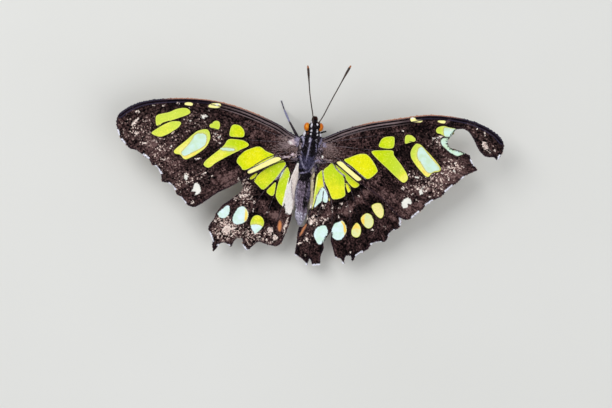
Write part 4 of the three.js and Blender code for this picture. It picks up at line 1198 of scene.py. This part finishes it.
# ---- body skin ----
SPINE = np.array([  # y, x and z of the body's middle, millimetres
    (-15.5, 0.35, 4.9), (-14, 0.38, 5.1), (-12, 0.25, 5.35), (-9.6, 0.1, 5.7), (-7, 0.05, 6.0),
    (-4.8, 0.1, 6.2), (-2.5, 0.34, 6.3), (0.4, 0.5, 6.5), (4.2, 0.5, 6.6), (6.6, 0.6, 6.45), (10, 0.67, 6.4)])
LILAC_LINES = [  # half width, then points
    (0.3, [(0.27, 6.2), (0.25, 5.6)]),
    (0.19, [(0.25, 5.6), (0.25, 4.4), (0.17, 3.2), (0.06, 2.2)]),
    (0.17, [(0.06, 2.2), (-0.05, 1.4), (-0.1, 0.7)]),
    (0.1, [(1.6, 5.1), (1.9, 4.2), (1.92, 3.2)]),
    (0.22, [(-1.62, 6.3), (-1.36, 5.6), (-1.28, 4.8), (-1.48, 4.0)]),
    (0.17, [(2.78, 6.4), (2.68, 5.5)]),
    (0.12, [(2.62, 5.5), (2.55, 4.6)]),
    (0.2, [(-1.5, 2.65), (-1.3, 2.4)]),
    (0.21, [(-1.65, 1.5), (-1.45, 1.1), (-1.15, 0.3), (-0.85, -0.3), (-0.45, -0.9), (0.2, -1.2)]),
    (0.15, [(1.9, 0.0), (1.4, -0.7), (0.9, -1.7), (0.0, -2.3), (-1.4, -2.5)]),
    (0.1, [(-1.35, -8.35), (-1.05, -9.0), (-0.85, -9.8)]),
    (0.13, [(1.7, 0.6), (2.4, 1.1), (3.4, 1.35)]),
]
SHOULDER_SHADE_SPOTS = [  # x, y and radius of painted shade: darker hair in the hollows beside the wing roots
    (-1.85, 5.55, 0.34), (-2.05, 1.3, 0.4), (-1.3, 3.35, 0.3), (-1.65, 0.3, 0.34), (-1.5, -0.6, 0.34),
    (3.2, 3.5, 0.4), (2.7, -0.1, 0.26)]
DOTS = [  # x, y, radii, turn
    (0.1, 9.35, 0.2, 0.46, 0), (1.5, 9.7, 0.26, 0.24, 0), (0.2, 8.1, 0.26, 0.3, 0), (1.65, 8.2, 0.2, 0.4, 5),
    (0.18, 7.2, 0.22, 0.22, 0), (1.8, 7.2, 0.2, 0.2, 0), (-1.38, 7.15, 0.26, 0.5, -10),
    (2.55, 7.3, 0.2, 0.46, 10),
    (-0.22, 10.0, 0.26, 0.26, 0), (1.62, 6.1, 0.2, 0.28, 0)]


def node_copy(name):
    """A merged copy of a CAD node in millimetres."""
    made = node_mesh(name)
    mesh = bpy.data.meshes.new("copy")
    made.to_mesh(mesh)
    made.free()
    mesh.transform(Matrix.Scale(1 / MM, 4))
    piece = bpy.data.objects.new("copy", mesh)
    bpy.context.scene.collection.objects.link(piece)
    return piece


def filler(place, radii, turn=0.0):
    bpy.ops.mesh.primitive_uv_sphere_add(segments=32, ring_count=20, radius=1.0, location=place)
    piece = bpy.context.object
    piece.scale = radii
    piece.rotation_euler = (0, 0, math.radians(turn))
    bpy.ops.object.transform_apply(location=True, rotation=True, scale=True)
    return piece


EYES = {  # place and radii
    "eye_left": ((-1.0, 8.8, 6.75), (0.78, 1.08, 1.15)),
    "eye_right": ((2.28, 9.1, 6.6), (0.78, 1.05, 1.15)),
}
SOFT_LOBES = [  # place, radii and turn of the rounded forms that the skin grows over
    ((0.6, 7.1, 6.42), (1.6, 0.85, 1.1), 0), ((-1.1, 7.0, 6.7), (0.85, 0.75, 0.85), 0),
    ((2.2, 7.1, 6.7), (0.8, 0.75, 0.85), 0),  # collar
    ((-0.15, 8.9, 7.35), (0.44, 1.0, 0.85), 0), ((1.92, 9.1, 7.35), (0.46, 1.05, 0.85), -8),  # brows
    ((0.67, 10.1, 6.9), (1.1, 0.75, 0.95), 0),  # forehead
    ((-1.5, 5.7, 7.0), (0.95, 1.2, 1.0), 10), ((2.6, 5.75, 7.0), (0.95, 1.2, 1.0), -10),  # neck plates
    ((-1.55, 3.5, 7.0), (1.3, 2.2, 1.15), 8), ((2.6, 3.7, 7.0), (1.3, 2.2, 1.15), -8),  # shoulders
    ((-1.7, 1.3, 7.0), (1.1, 1.3, 1.0), 0), ((2.7, 1.5, 7.0), (1.2, 1.5, 1.0), 0),
    ((-2.0, 3.75, 8.05), (0.42, 0.62, 0.34), 10), ((3.2, 3.6, 7.95), (0.56, 0.6, 0.36), 0),  # wing caps
    ((-2.9, 1.0, 7.2), (1.5, 0.8, 0.55), -8), ((3.7, 1.1, 7.2), (1.5, 0.8, 0.55), 8),  # pads by the wings
    ((-1.2, -1.4, 6.3), (0.95, 1.7, 0.8), 10), ((1.9, -1.4, 6.3), (1.1, 1.7, 0.8), -14),
    ((0.34, -2.7, 6.3), (1.6, 1.0, 1.4), 0),  # waist
    ((0.06, -7.6, 5.9), (2.0, 5.0, 1.8), 1), ((0.3, -12.2, 5.3), (1.55, 2.9, 1.45), -3)]  # abdomen


def body_skin():
    """Head, thorax and abdomen grown into one closed skin, drawn in by the depth of the coat."""
    bpy.ops.object.select_all(action="DESELECT")
    parts = [filler(*lobe) for lobe in SOFT_LOBES]
    parts += [filler(place, [r - 0.02 for r in radii]) for place, radii in EYES.values()]
    parts += [node_copy(name) for name in ("head", "thorax", "abdomen")]
    skin = joined("body_skin", parts)
    shape_with(skin, "REMESH", mode="VOXEL", voxel_size=0.2)
    shape_with(skin, "SMOOTH", factor=0.5, iterations=4)
    mesh = skin.data
    place, normal = rows_of(mesh.vertices, "co"), rows_of(mesh.vertices, "normal")
    ring = np.where(place[:, 1] < RINGS_FROM, ring_wave(place[:, 1]), 1.0)
    depth = COAT_DEPTH + 0.07 * np.clip(-ring - 0.2, 0, 1)
    place = place - normal * depth[:, None]
    mesh.vertices.foreach_set("co", (place * MM).astype(np.float32).ravel())
    mesh.update()
    set_attributes(skin, body_marks(place, normal) | {"tint": np.full(len(place), 0.1)})
    return dress(skin, BODY_HAIR, ["head", "thorax", "abdomen"])


def middle_of(y):
    """x and z of the body's middle at each y."""
    return between(SPINE[:, 1:], SPINE[:, 0], y)


def ring_wave(y):
    """1 on an abdomen ring, -1 in the groove between two."""
    return np.cos((y - RINGS_FROM) * math.tau / RING_PITCH)


def body_marks(place, normal):
    """Lilac lines, white dots and pale underside for points of the body."""
    xy, across = place[:, :2], place[:, 0]
    middle = middle_of(place[:, 1])
    x, y = across - middle[:, 0], place[:, 1]

    def spot(cx, cy, rx, ry):
        return np.exp(-(((across - cx) / rx) ** 2 + ((y - cy) / ry) ** 2))

    def rim(cx, cy, radius):
        return np.exp(-((np.hypot(across - cx, y - cy) - radius) / 0.16) ** 2)

    upper = normal[:, 2] > 0.05
    lilac = threads(xy, [(half, smooth_line(points, 3)) for half, points in LILAC_LINES])
    dot = np.full(len(xy), -1.0)
    for numbers in DOTS:
        dot = np.maximum(dot, loop_inside(xy, np.array(oval(*numbers, 12))))
    rust = loop_inside(xy, np.array(oval(-0.65, 7.3, 0.4, 0.4)))

    right_dark = ramp(x, 0.25, 0.3) * np.exp(-((y + 9.9) / 1.5) ** 2)
    streak = np.exp(-((x - 0.62) / 0.28) ** 2) * (y > -14.0)
    dark = 0.85 * np.exp(-((y + 3.7) / 0.8) ** 2) + 0.55 * streak + 0.5 * right_dark
    tail = ramp(-y, 2.6, 1.2) * (0.66 + 0.12 * ring_wave(y) + 0.5 * ramp(-x, 0.8, 0.5)
                                 + 0.95 * ramp(-y, 10.4, 2.6) - dark)
    tail += 0.3 * np.exp(-((x + 0.9) / 0.5) ** 2 - ((y + 9.8) / 1.6) ** 2)

    shoulder = ramp(np.abs(across - BODY_X), 1.75, 0.7) * (y > -1.6) * (y < 6.2)
    # painted shade in the hollows beside the wing roots: the lighter shoulder hair is taken away there
    for shade_x, shade_y, radius in SHOULDER_SHADE_SPOTS:
        shoulder -= 1.3 * np.exp(-((across - shade_x) ** 2 + (y - shade_y) ** 2) / radius ** 2)
    shoulder += 0.5 * rim(3.2, 3.6, 0.62)
    shoulder += 0.8 * spot(2.4, 1.2, 0.75, 1.3)
    shoulder += 1.7 * spot(1.85, -1.7, 0.4, 1.2)
    shoulder += 0.8 * spot(-2.2, -0.6, 0.3, 0.7)
    shoulder += 0.6 * rim(-2.05, 1.5, 0.55)

    under = ramp(middle[:, 1] - place[:, 2], 0.5, 0.9)
    under += 0.55 * spot(-2.0, 3.75, 0.4, 0.6)
    under += 0.8 * spot(1.9, -1.3, 0.4, 0.9)

    blue = ramp(-y, -3, 2) * (y > np.where(across > 0, -2.2, -1.3)) * (np.abs(across - BODY_X) < 2.2)
    blue += 0.9 * ramp(x, 0.8, 0.4) * (y < -4.4) * (y > -8.6)
    blue += 0.8 * ramp(-x, 0.95, 0.4) * (y < -4.4) * (y > -8.4)
    return {"lilac": np.where(upper, lilac, -1.0), "dot": np.where(upper, dot, -1.0), "shoulder": shoulder,
            "rust": np.where(upper, rust, -1.0), "under": under, "tail": np.clip(tail, 0, 2), "blue": blue}


def body_uv(place):
    """Unwrap round the body's own length."""
    middle = middle_of(place[:, 1])
    turn = np.arctan2(place[:, 0] - middle[:, 0], place[:, 2] - middle[:, 1]) / math.tau + 0.5
    return np.column_stack([0.02 + 0.96 * turn, 0.02 + 0.96 * (place[:, 1] + 16) / 27])


def body_coat(skin):
    """Close hair over the skin: long on the thorax, short on head and abdomen."""
    mesh = skin.data
    roots = np.vstack([rows_of(mesh.vertices, "co") / MM, rows_of(mesh.polygons, "center") / MM])
    normals = np.vstack([rows_of(mesh.vertices, "normal"), rows_of(mesh.polygons, "normal")])
    free = np.ones(len(roots), bool)
    for eye, radii in EYES.values():
        free &= np.linalg.norm((roots - eye) / (np.array(radii) + 0.03), axis=1) > 1
    roots, normals = roots[free], normals[free]
    roots = roots + np.cross(normals, RNG.normal(0, 0.05, roots.shape))
    on_head, behind = roots[:, 1] > HEAD_FROM, roots[:, 1] <= WAIST_Y
    groups = (("head_hair", on_head, 0.34, 0.08, 0.4),  # name, roots, length, width and rise
              ("thorax_hair", ~on_head & ~behind, 0.66, 0.09, 0.34),
              ("abdomen_hair", behind, 0.62, 0.09, 0.36))
    for name, chosen, length, width, rise in groups:
        here, facing = roots[chosen], normals[chosen]
        count = len(here)
        lie = np.tile((0.0, -1.0, 0.0), (count, 1)) + RNG.normal(0, 0.22, (count, 3))
        lie[:, 2] -= 0.15 * (facing[:, 2] < 0.3)
        if name == "head_hair":
            lie[here[:, 1] > 9.6] = (0.0, 1.0, 0.3)
        if name == "abdomen_hair":
            lie[:, 0] -= 0.8 * ramp(-here[:, 1], 8.5, 2) * ramp(-here[:, 0], 0, 0.9)
        if name == "thorax_hair":
            outer = ramp(np.abs(here[:, 0] - BODY_X), 2.05, 0.5) * (facing[:, 2] > -0.2)
            lie[:, 0] += 1.9 * np.sign(here[:, 0] - BODY_X) * outer
            length = length * (1 + 0.7 * outer)
            cap = np.hypot(here[:, 0] + 2.0, here[:, 1] - 3.75) < 0.7
            length = np.where(cap, 0.4, length)
        marks = body_marks(here, facing)
        marks["tint"] = RNG.uniform(0, 1, count)
        hair(name, here, facing, lie, length * RNG.uniform(0.7, 1.25, count),
             width * RNG.uniform(0.8, 1.2, count), marks, BODY_HAIR, body_uv(here),
             rise * RNG.uniform(0.5, 1.4, count))


SKIN = body_skin()
body_coat(SKIN)


# ---- eyes, palps and tongue ----
def eye(name):
    """Faceted ball of an eye, cut flat where it sits in the head."""
    place, radii = EYES[name]
    inward = 1 if place[0] < BODY_X else -1
    bpy.ops.object.select_all(action="DESELECT")
    bpy.ops.mesh.primitive_uv_sphere_add(segments=64, ring_count=40, radius=1.0, location=place)
    bpy.ops.object.mode_set(mode="EDIT")
    bpy.ops.transform.resize(value=radii, center_override=place)
    bpy.ops.mesh.bisect(plane_co=Vector(place) + Vector((inward * 0.6 * radii[0], 0, 0)),
                        plane_no=(inward, 0, 0), use_fill=True, clear_outer=True)
    bpy.ops.object.mode_set(mode="OBJECT")
    bpy.ops.object.transform_apply(location=True, rotation=True, scale=True)
    plain_piece(name + "_ball", [bpy.context.object], EYE, name)


def palp(side):
    """Hairy palp beside the tongue, pointing forwards and up."""
    sign = -1 if side == "left" else 1
    path = smooth_line([(HEAD_X + sign * out, y, z) for out, y, z in (
        (0.42, 10.35, 6.3), (0.38, 10.7, 6.6), (0.3, 11.05, 6.85), (0.22, 11.35, 7.05))], 5)
    radii = np.interp(np.linspace(0, 1, len(path)), [0, 0.05, 0.35, 0.7, 0.95, 1],
                      [0.14, 0.3, 0.4, 0.34, 0.2, 0.05])
    core = tube(path, radii, 14, **bare_marks(len(path), 0.2))
    plain_piece(f"palp_{side}_core", [core], BODY_HAIR, f"palp_{side}")
    count = 620
    step = RNG.uniform(0.02, 0.97, count)
    angle = RNG.uniform(0, math.tau, count)
    along = unit(path[-1] - path[0])
    roots, out = round_core(path, radii, (1.0, 0, 0), step, angle, along, 0.95)
    lie = along + RNG.normal(0, 0.15, (count, 3))
    marks = bare_marks(count, 0.0)
    marks["tint"] = RNG.uniform(0, 0.8, count)
    marks["under"] = np.clip(-out[:, 2] - 0.3, 0, 1)
    marks["rust"] = np.where(RNG.uniform(0, 1, count) > 0.75, 0.3, -1.0)
    hair(f"palp_{side}_hair", roots, out, lie, RNG.uniform(0.24, 0.42, count), 0.055, marks, BODY_HAIR,
         unrolled(angle, step), 0.35)


def tongue():
    """Coiled tongue, two ribbed half tubes side by side."""
    turns, count = 1.15, 90
    angle = np.linspace(0.2, 0.2 + turns, count) * math.tau
    radius = np.linspace(0.98, 0.32, count)
    thick = np.interp(np.arange(count), [0, 2, 60, 87, 89], [0.1, 0.19, 0.16, 0.12, 0.04])
    thick = thick * (1 + 0.05 * np.cos(np.arange(count) * math.pi))
    parts = []
    for shift in (-0.09, 0.09):
        path = np.column_stack([np.full(count, HEAD_X + shift), 10.35 + radius * np.cos(angle),
                                4.3 + radius * np.sin(angle)])
        parts.append(tube(path, thick, band=0.4))
    plain_piece("tongue", parts, HORN, "proboscis")


for name in EYES:
    eye(name)
for side in ("left", "right"):
    palp(side)
tongue()


# ---- feelers ----
FEELERS = {
    "antenna_left": [(0.35, 10.25, 7.75), (0, 12, 8.3), (-0.75, 14.6, 9), (-1.35, 16.9, 9.5),
                     (-1.85, 19.3, 9.9), (-2.2, 21.1, 10.2), (-2.5, 22.6, 10.4), (-2.8, 23.7, 10.5)],
    "antenna_right": [(1.75, 10.1, 7.7), (2.6, 11.8, 8.2), (3.4, 14, 8.8), (4.3, 16.4, 9.4), (5.3, 18.9, 9.9),
                      (6.2, 21.2, 10.3), (7.1, 23.5, 10.5), (7.8, 25.1, 10.6)],
}


def feeler(name, points):
    """Ringed shaft with a slim club, and a socket at the head."""
    path = smooth_line(points, 24)
    length = run_along(path)
    whole = length[-1]
    places = np.arange(0, whole, 0.105)
    path = between(path, length, places)
    left = whole - places
    radius = np.interp(left, [0, 0.25, 0.9, 2.2, 3.4, 5, whole - 0.5, whole],
                       [0.08, 0.2, 0.3, 0.29, 0.2, 0.14, 0.14, 0.22])
    ring = np.arange(len(places)) % 4
    radius = radius * np.where(ring == 0, 0.9, 1.0)
    shaft = tube(path, radius, band=np.where(left < 0.7, 1.0, np.where(ring == 0, 0.12, 0.0)))
    under = rows_of(shaft.data.vertices, "co")[:, 2] < np.repeat(path[:, 2], 12) - 0.05
    layer = shaft.data.attributes["band"].data
    band = np.empty(len(layer), np.float32)
    layer.foreach_get("value", band)
    layer.foreach_set("value", (band + 0.25 * under).astype(np.float32))
    start = np.array(points[0])
    collar = tube([start - (0, 0.45, 0.75)] + [start + np.array((0, 0.05, 0.1)) * i for i in (-4, -1, 0, 1)],
                  [0.2, 0.27, 0.3, 0.27, 0.15], band=0.0)
    plain_piece(name + "_feeler", [shaft, collar], ANTENNA, name)


for name, points in FEELERS.items():
    feeler(name, points)


# ---- legs ----
LEGS = {  # hip, knee, ankle and toe
    "midleg_left": ((-1.75, 4.3, 4.7), (-5.6, 9.7, 6.3), (-7.2, 12.4, 0.42), (-8.2, 14.5, 0.17)),
    "midleg_right": ((2.75, 4.3, 4.7), (5.6, 6.6, 6.2), (7.4, 7, 0.42), (9.4, 7.6, 0.17)),
    "hindleg_left": ((-1.75, 0.9, 4.7), (-5.3, -3.2, 5.6), (-6.6, -6.6, 0.42), (-7.6, -8.9, 0.17)),
    "hindleg_right": ((2.75, 0.9, 4.7), (6.3, -3.2, 5.6), (7.6, -6.6, 0.42), (8.6, -8.9, 0.17)),
}
BRUSH_FEET = {
    "foreleg_left": [(-0.55, 5.7, 4.4), (-0.75, 7, 4.3), (-0.8, 8.3, 4.5), (-0.5, 9.3, 4.9)],
    "foreleg_right": [(1.65, 5.7, 4.4), (2.0, 6.8, 4.6), (2.6, 7.75, 4.95), (3.8, 8.3, 5.3)],
}


def spindle(a, b, start, belly, end, band, cuts=12, where=0.3):
    """One leg segment, fullest part way along, rounded at both ends."""
    path = np.linspace(a, b, cuts)
    radius = np.interp(np.linspace(0, 1, cuts), [0, 0.03, where, 0.85, 0.97, 1],
                       [start * 0.5, start, belly, end, end * 1.08, end * 0.5])
    return tube(path, radius, band=band), radius, path


def spines(model, path, radius, start, end, count, length, lean, band):
    """Short stiff spines in pairs along a segment, each a copy of the model spine."""
    parts = []
    along = unit(path[-1] - path[0])
    one = unit(np.cross(along, (0.0, 0.0, 1.0)))
    two = np.cross(along, one)
    for i, t in enumerate(np.linspace(start, end, count)):
        here = path[0] + (path[-1] - path[0]) * t
        thick = np.interp(t, np.linspace(0, 1, len(radius)), radius)
        for sign in (-1, 1):
            out = unit(one * sign + two * 0.5 * (-1) ** i)
            root, way = Vector(here + out * thick * 0.8), Vector(unit(out + along * lean))
            piece = model.copy()
            piece.data = model.data.copy()
            turn = way.to_track_quat("Z", "Y")
            piece.data.transform(Matrix.LocRotScale(root, turn, Vector((1, 1, length))))
            set_attributes(piece, {"band": np.full(len(piece.data.vertices), band)})
            bpy.context.scene.collection.objects.link(piece)
            parts.append(piece)
    return parts


def walking_leg(name, hip, knee, ankle, toe):
    """Thigh, shin with spurs, five-jointed foot flat on the floor, two claws."""
    model = tube([(0, 0, 0), (0, 0, 0.5), (0, 0, 1)], [0.035, 0.025, 0.004], 5)
    thigh, thick, path = spindle(hip, knee, 0.28, 0.4, 0.24, 0.0)
    parts = [thigh] + spines(model, path, thick, 0.25, 0.9, 6, 0.16, 1.2, 0.2)
    socket = np.array(hip) + ((BODY_X - hip[0]) * 0.45, 0, 0.45)
    parts.append(spindle(socket, np.array(hip) + (0, 0, 0.05), 0.4, 0.48, 0.36, 0.0, 10, 0.4)[0])
    parts.append(tube([np.array(knee) + (0, 0, d) for d in (-0.2, -0.12, 0, 0.12, 0.2)],
                      [0.06, 0.19, 0.25, 0.19, 0.06], band=0.75))
    shin, thick, path = spindle(knee, ankle, 0.19, 0.27, 0.21, 0.6, 14, 0.45)
    parts += [shin] + spines(model, path, thick, 0.15, 0.95, 9, 0.2, 1.4, 0.3)
    ankle, toe = np.array(ankle), np.array(toe)
    heel = ankle + (toe - ankle) * 0.03
    stops = [0, 0.42, 0.6, 0.75, 0.87, 1.0]
    for i, (t0, t1) in enumerate(zip(stops[:-1], stops[1:])):
        a, b = heel + (toe - heel) * t0, heel + (toe - heel) * t1
        a[2] = FLOOR_CLEAR + 0.2 * max(0, 1 - t0 * 2.4)
        b[2] = FLOOR_CLEAR + 0.2 * max(0, 1 - t1 * 2.4)
        segment, thick, path = spindle(a, b, 0.12, 0.14, 0.15, 0.15 + 0.1 * (i % 2), 8, 0.5)
        parts += [segment] + spines(model, path, thick, 0.4, 0.9, 2, 0.12, 1.5, 0.2)
    ahead = unit((toe - ankle) * (1, 1, 0))
    across = np.cross(ahead, (0, 0, 1.0))
    for sign in (-1, 1):
        root = toe + across * sign * 0.06 + (0, 0, 0.01)
        claw = [root, root + ahead * 0.1 + across * sign * 0.05 + (0, 0, 0.03),
                root + ahead * 0.19 + across * sign * 0.08 - (0, 0, 0.02),
                root + ahead * 0.22 + across * sign * 0.08 - (0, 0, 0.13)]
        parts.append(tube(smooth_line(claw, 3), np.linspace(0.05, 0.008, 10), 6, band=0.9))
    bpy.data.objects.remove(model)
    leg = plain_piece(name + "_limb", parts, LEG, name)
    place = rows_of(leg.data.vertices, "co")
    place[:, 2] = np.maximum(place[:, 2], 0.0)
    leg.data.vertices.foreach_set("co", place.ravel())


def brush_foot(name, points):
    """Small folded foreleg, thickly haired like a brush."""
    path = smooth_line(points, 8)
    where = np.linspace(0, 1, len(path))
    radius = np.interp(where, [0, 0.04, 0.3, 0.62, 0.7, 0.95, 1], [0.1, 0.22, 0.26, 0.17, 0.2, 0.15, 0.05])
    core = tube(path, radius, **bare_marks(len(path), 0.2))
    plain_piece(name + "_core", [core], BODY_HAIR, name)
    count = 420
    step = RNG.uniform(0.05, 0.97, count)
    angle = RNG.uniform(0, math.tau, count)
    along = unit(between(unit(np.gradient(path, axis=0)), where, step))
    roots, out = round_core(path, radius, (0.0, 0.0, 1.0), step, angle, along, 0.9)
    marks = bare_marks(count, 0.0)
    marks["tint"] = RNG.uniform(0, 0.8, count)
    marks["under"] = np.clip(-out[:, 2], 0, 0.4)
    hair(name + "_brush", roots, out, along, RNG.uniform(0.18, 0.4, count), 0.045, marks, BODY_HAIR,
         unrolled(angle, step), 0.45)


for name, joints in LEGS.items():
    walking_leg(name, *joints)
for name, points in BRUSH_FEET.items():
    brush_foot(name, points)


# ---- soft hair at the wing roots and inner folds ----
def root_fuzz(wing, patches, name):
    """Tufts on a wing; each patch is x, y, radii, count, length, heading, lilac, fold."""
    sheet = WINGS[wing]
    roots, heading, length, marks = [], [], [], {"tint": [], "lilac": [], "fold": []}
    for x, y, rx, ry, count, long, way, lilac, fold in patches:
        spot = RNG.normal(0, 0.5, (count, 2)) * (rx, ry) + (x, y)
        spot = spot[sheet.inside(spot) > 0.1]
        roots.append(spot)
        heading.append(np.radians(way) + RNG.normal(0, 0.3, len(spot)))
        length.append(long * RNG.uniform(0.6, 1.2, len(spot)))
        marks["tint"].append(RNG.uniform(0, 1, len(spot)))
        marks["lilac"].append(np.full(len(spot), lilac))
        marks["fold"].append(np.full(len(spot), fold))
    xy, heading = np.vstack(roots), np.concatenate(heading)
    count = len(xy)
    place = np.column_stack([xy, sheet.surface(xy) + MEMBRANE / 2 + 0.07])
    up = np.tile((0.0, 0.0, 1.0), (count, 1))
    lie = np.column_stack([np.cos(heading), np.sin(heading), np.zeros(count)])
    marks = {key: np.concatenate(values) for key, values in marks.items()}
    hair(name, place, up, lie, np.concatenate(length), 0.05, marks, ROOT_FUZZ, sheet.uv(xy), 0.5, 0.4)


root_fuzz("forewing_left", [
    (-4.3, 4.45, 0.5, 0.28, 520, 0.42, 215, 1.0, 1.0), (-3.85, 4.6, 1.0, 0.75, 430, 0.45, 215, 0.62, 0.0),
    (-2.75, 5.1, 0.7, 1.2, 480, 0.5, 225, -1.0, 0.0), (-2.8, 2.8, 0.7, 1.3, 110, 0.5, 235, 0.0, 0.0),
    (-5.4, 3.5, 1.6, 0.8, 260, 0.7, 200, 0.35, 0.0), (-3.6, 3.0, 1.6, 1.0, 110, 0.7, 200, 0.0, 0.0),
    (-6.4, 2.6, 2.4, 1.2, 100, 0.8, 190, 0.3, 0.0), (-6.2, 5.2, 1.6, 0.8, 120, 0.6, 185, 0.3, 0.0),
    (-3.35, 1.5, 0.45, 0.3, 240, 0.3, 180, 1.0, 0.0), (-3.7, 0.65, 1.8, 0.26, 360, 0.6, 180, 0.62, 0.0),
    (-2.55, 0.7, 0.4, 1.4, 240, 0.6, 262, 0.6, 0.0)], "root_fuzz_left")
root_fuzz("forewing_right", [
    (3.4, 4.9, 0.7, 0.6, 220, 0.5, -30, -1.0, 0.0), (4.8, 4.7, 1.8, 1.2, 260, 0.5, 0, 0.3, 0.0),
    (4.2, 3.2, 1.6, 1.4, 160, 0.5, -20, 0.1, 0.0), (6.0, 3.0, 2.2, 1.6, 260, 0.5, 0, 0.15, 0.0),
    (3.4, 1.9, 0.38, 0.3, 220, 0.3, -5, 1.0, 1.0), (4.4, 1.3, 1.6, 0.12, 200, 0.35, -10, 0.36, 0.0),
    (2.9, 0.7, 0.8, 0.7, 220, 0.6, -20, 0.5, 0.0)], "root_fuzz_right")
root_fuzz("hindwing_right", [(3.9, 0.98, 2.4, 0.16, 1100, 0.4, 4, 0.72, 0.0)], "root_fuzz_low_right")


INNER_EDGES = {  # inner edge of each hindwing in plan, then how far the fold turns in by the abdomen
    "left": ([(-2.1, -0.4), (-2.35, -3), (-2.4, -6), (-2.45, -9), (-2.5, -12.2)], 0.95),
    "right": ([(2.2, -0.6), (2.4, -3), (2.65, -6), (2.8, -9), (2.7, -10.6)], -1.0),
}
# where the pale hair of the fold stops: beside the body, behind and at the top; beside the body the hair is
# slate, painted shade of the slit by the abdomen
FOLD_LIMITS = {"left": (-1.65, -12.3, -0.5), "right": (1.65, -10.4, -1.3)}
# crease of the left fold: the hair along it is darker, painted shade of the crease
FOLD_CREASE = [(-3.2, -4.0), (-2.9, -5.5), (-2.5, -7.5), (-2.2, -9.0)]


def fold_place(side, along, across):
    """Points of the inner fold: it leaves the wing's edge and curves down beside the abdomen."""
    edge, turn_in = INNER_EDGES[side]
    line = smooth_line(edge, 6)
    ahead = np.linspace(0, 1, len(line))
    x, y = between(line, ahead, along).T
    narrow = 1 - ramp(along, 0.75, 0.25) ** 2
    height = hindwing_height(x, y) - 0.08 - 0.75 * across ** 2
    return np.column_stack([x + turn_in * across * narrow, y, height])


def inner_fold(sheet, side):
    """Thin curved lobe that joins the hindwing to the side of the abdomen."""
    bpy.ops.object.select_all(action="DESELECT")
    bpy.ops.mesh.primitive_grid_add(x_subdivisions=39, y_subdivisions=7, size=1.0)
    piece = bpy.context.object
    piece.name = piece.data.name = "inner_fold_" + side
    flat = rows_of(piece.data.vertices, "co") + 0.5
    place = fold_place(side, flat[:, 0], flat[:, 1] * 1.3 - 0.3)
    piece.data.vertices.foreach_set("co", (place * MM).ravel())
    if side == "right":
        piece.data.flip_normals()
    marks = sheet.marks(place[:, :2])
    pale = loop_inside(place[:, :2], sheet.loops["cream"][-1]) > -0.15
    marks |= {"tint": np.full(len(place), 0.5), "fold": np.ones(len(place))}
    marks["cream"] = np.where(pale, 1.0, -1.0)
    set_attributes(piece, marks)
    dress(piece, WING_UPPER)
    shape_with(piece, "SOLIDIFY", thickness=0.1 * MM, offset=-1.0)


def fold_hair(sheet, side):
    """Long pale hair over the inner fold of a hindwing; the slate hair next to the body is painted shade, and
    on the left so is the darker hair along the crease.
    """
    loop = sheet.loops["cream"][-1]
    spot = RNG.uniform(loop.min(0), loop.max(0), (2600, 2))
    spot = spot[(loop_inside(spot, loop) > -0.1) & (sheet.inside(spot) > 0.03)]
    on_wing = np.column_stack([spot, sheet.surface(spot) + MEMBRANE / 2])
    place = np.vstack([on_wing, fold_place(side, RNG.uniform(0, 1, 900), RNG.uniform(0, 1, 900))])
    beside, behind, front = FOLD_LIMITS[side]
    place = place[place[:, 1] > behind]
    x, y = place[:, 0], place[:, 1]
    count = len(place)
    heading = np.radians(270) + RNG.normal(0, 0.16, count)
    lie = np.column_stack([np.cos(heading), np.sin(heading), np.zeros(count)])
    lilac, fold = np.full(count, 0.7), np.full(count, 0.5)
    if side == "left":
        crease = np.array(FOLD_CREASE[::-1])
        fold = np.where((x > np.interp(y, crease[:, 1], crease[:, 0])) | (y > -3.8), -1.0, 1.0)
        # painted shade: darker tan hair along the crease
        crease = line_distance(place[:, :2], smooth_line(FOLD_CREASE, 4)) < 0.14
        fold[crease], lilac[crease] = 0.0, 0.5
    # painted shade: slate hair next to the abdomen, where the fold meets it
    slate_and_painted_shade = x > beside if side == "left" else x < beside
    top = y > front
    fold[slate_and_painted_shade | top] = 0.0
    lilac[top], lilac[slate_and_painted_shade] = 0.6, -1.0
    marks = {"tint": RNG.uniform(0, 1, count), "lilac": lilac, "fold": fold}
    hair("fold_hair_" + side, place, np.tile((0.0, 0.0, 1.0), (count, 1)), lie,
         RNG.uniform(0.6, 1.3, count), 0.06, marks, ROOT_FUZZ, sheet.uv(place[:, :2]), 0.08, 0.2)


for side in ("left", "right"):
    inner_fold(WINGS["hindwing_" + side], side)
    fold_hair(WINGS["hindwing_" + side], side)


# ---- camera, light and floor ----
LAMPS = [(0.5, (-0.35, 0.3, 0.6), 3.6), (0.9, (0.5, -0.2, 0.7), 3.2)]  # size, place in metres, watts


def build_view():
    bpy.context.scene.view_settings.view_transform = "Standard"
    for size, place, energy in LAMPS:
        bpy.ops.object.light_add(type="AREA", location=place)
        lamp = bpy.context.object
        lamp.data.size = size
        lamp.data.energy = energy
        lamp.rotation_euler = (-Vector(place)).to_track_quat("-Z", "Y").to_euler()
    world = bpy.data.worlds.new("studio")
    world.use_nodes = True
    world.node_tree.nodes["Background"].inputs["Color"].default_value = (0.95, 0.97, 1.0, 1.0)
    world.node_tree.nodes["Background"].inputs["Strength"].default_value = 0.5
    bpy.context.scene.world = world
    bpy.ops.mesh.primitive_plane_add(size=3.0, location=(0, 0, 0))
    floor = bpy.context.object
    floor.name = "floor"
    floor.data.materials.append(floor_finish())
    camera = bpy.data.cameras.new("camera")
    camera.sensor_width = 36.0
    camera.lens = camera.sensor_width * (CAMERA_HEIGHT - WING_HEIGHT) / VIEW_WIDTH
    camera.clip_start = 0.01
    camera.clip_end = 10.0
    holder = bpy.data.objects.new("camera", camera)
    holder.location = (VIEW_CENTRE[0] * MM, VIEW_CENTRE[1] * MM, CAMERA_HEIGHT * MM)
    holder.rotation_euler = (0, 0, math.radians(VIEW_TURN))
    bpy.context.scene.collection.objects.link(holder)
    bpy.context.scene.camera = holder


build_view()
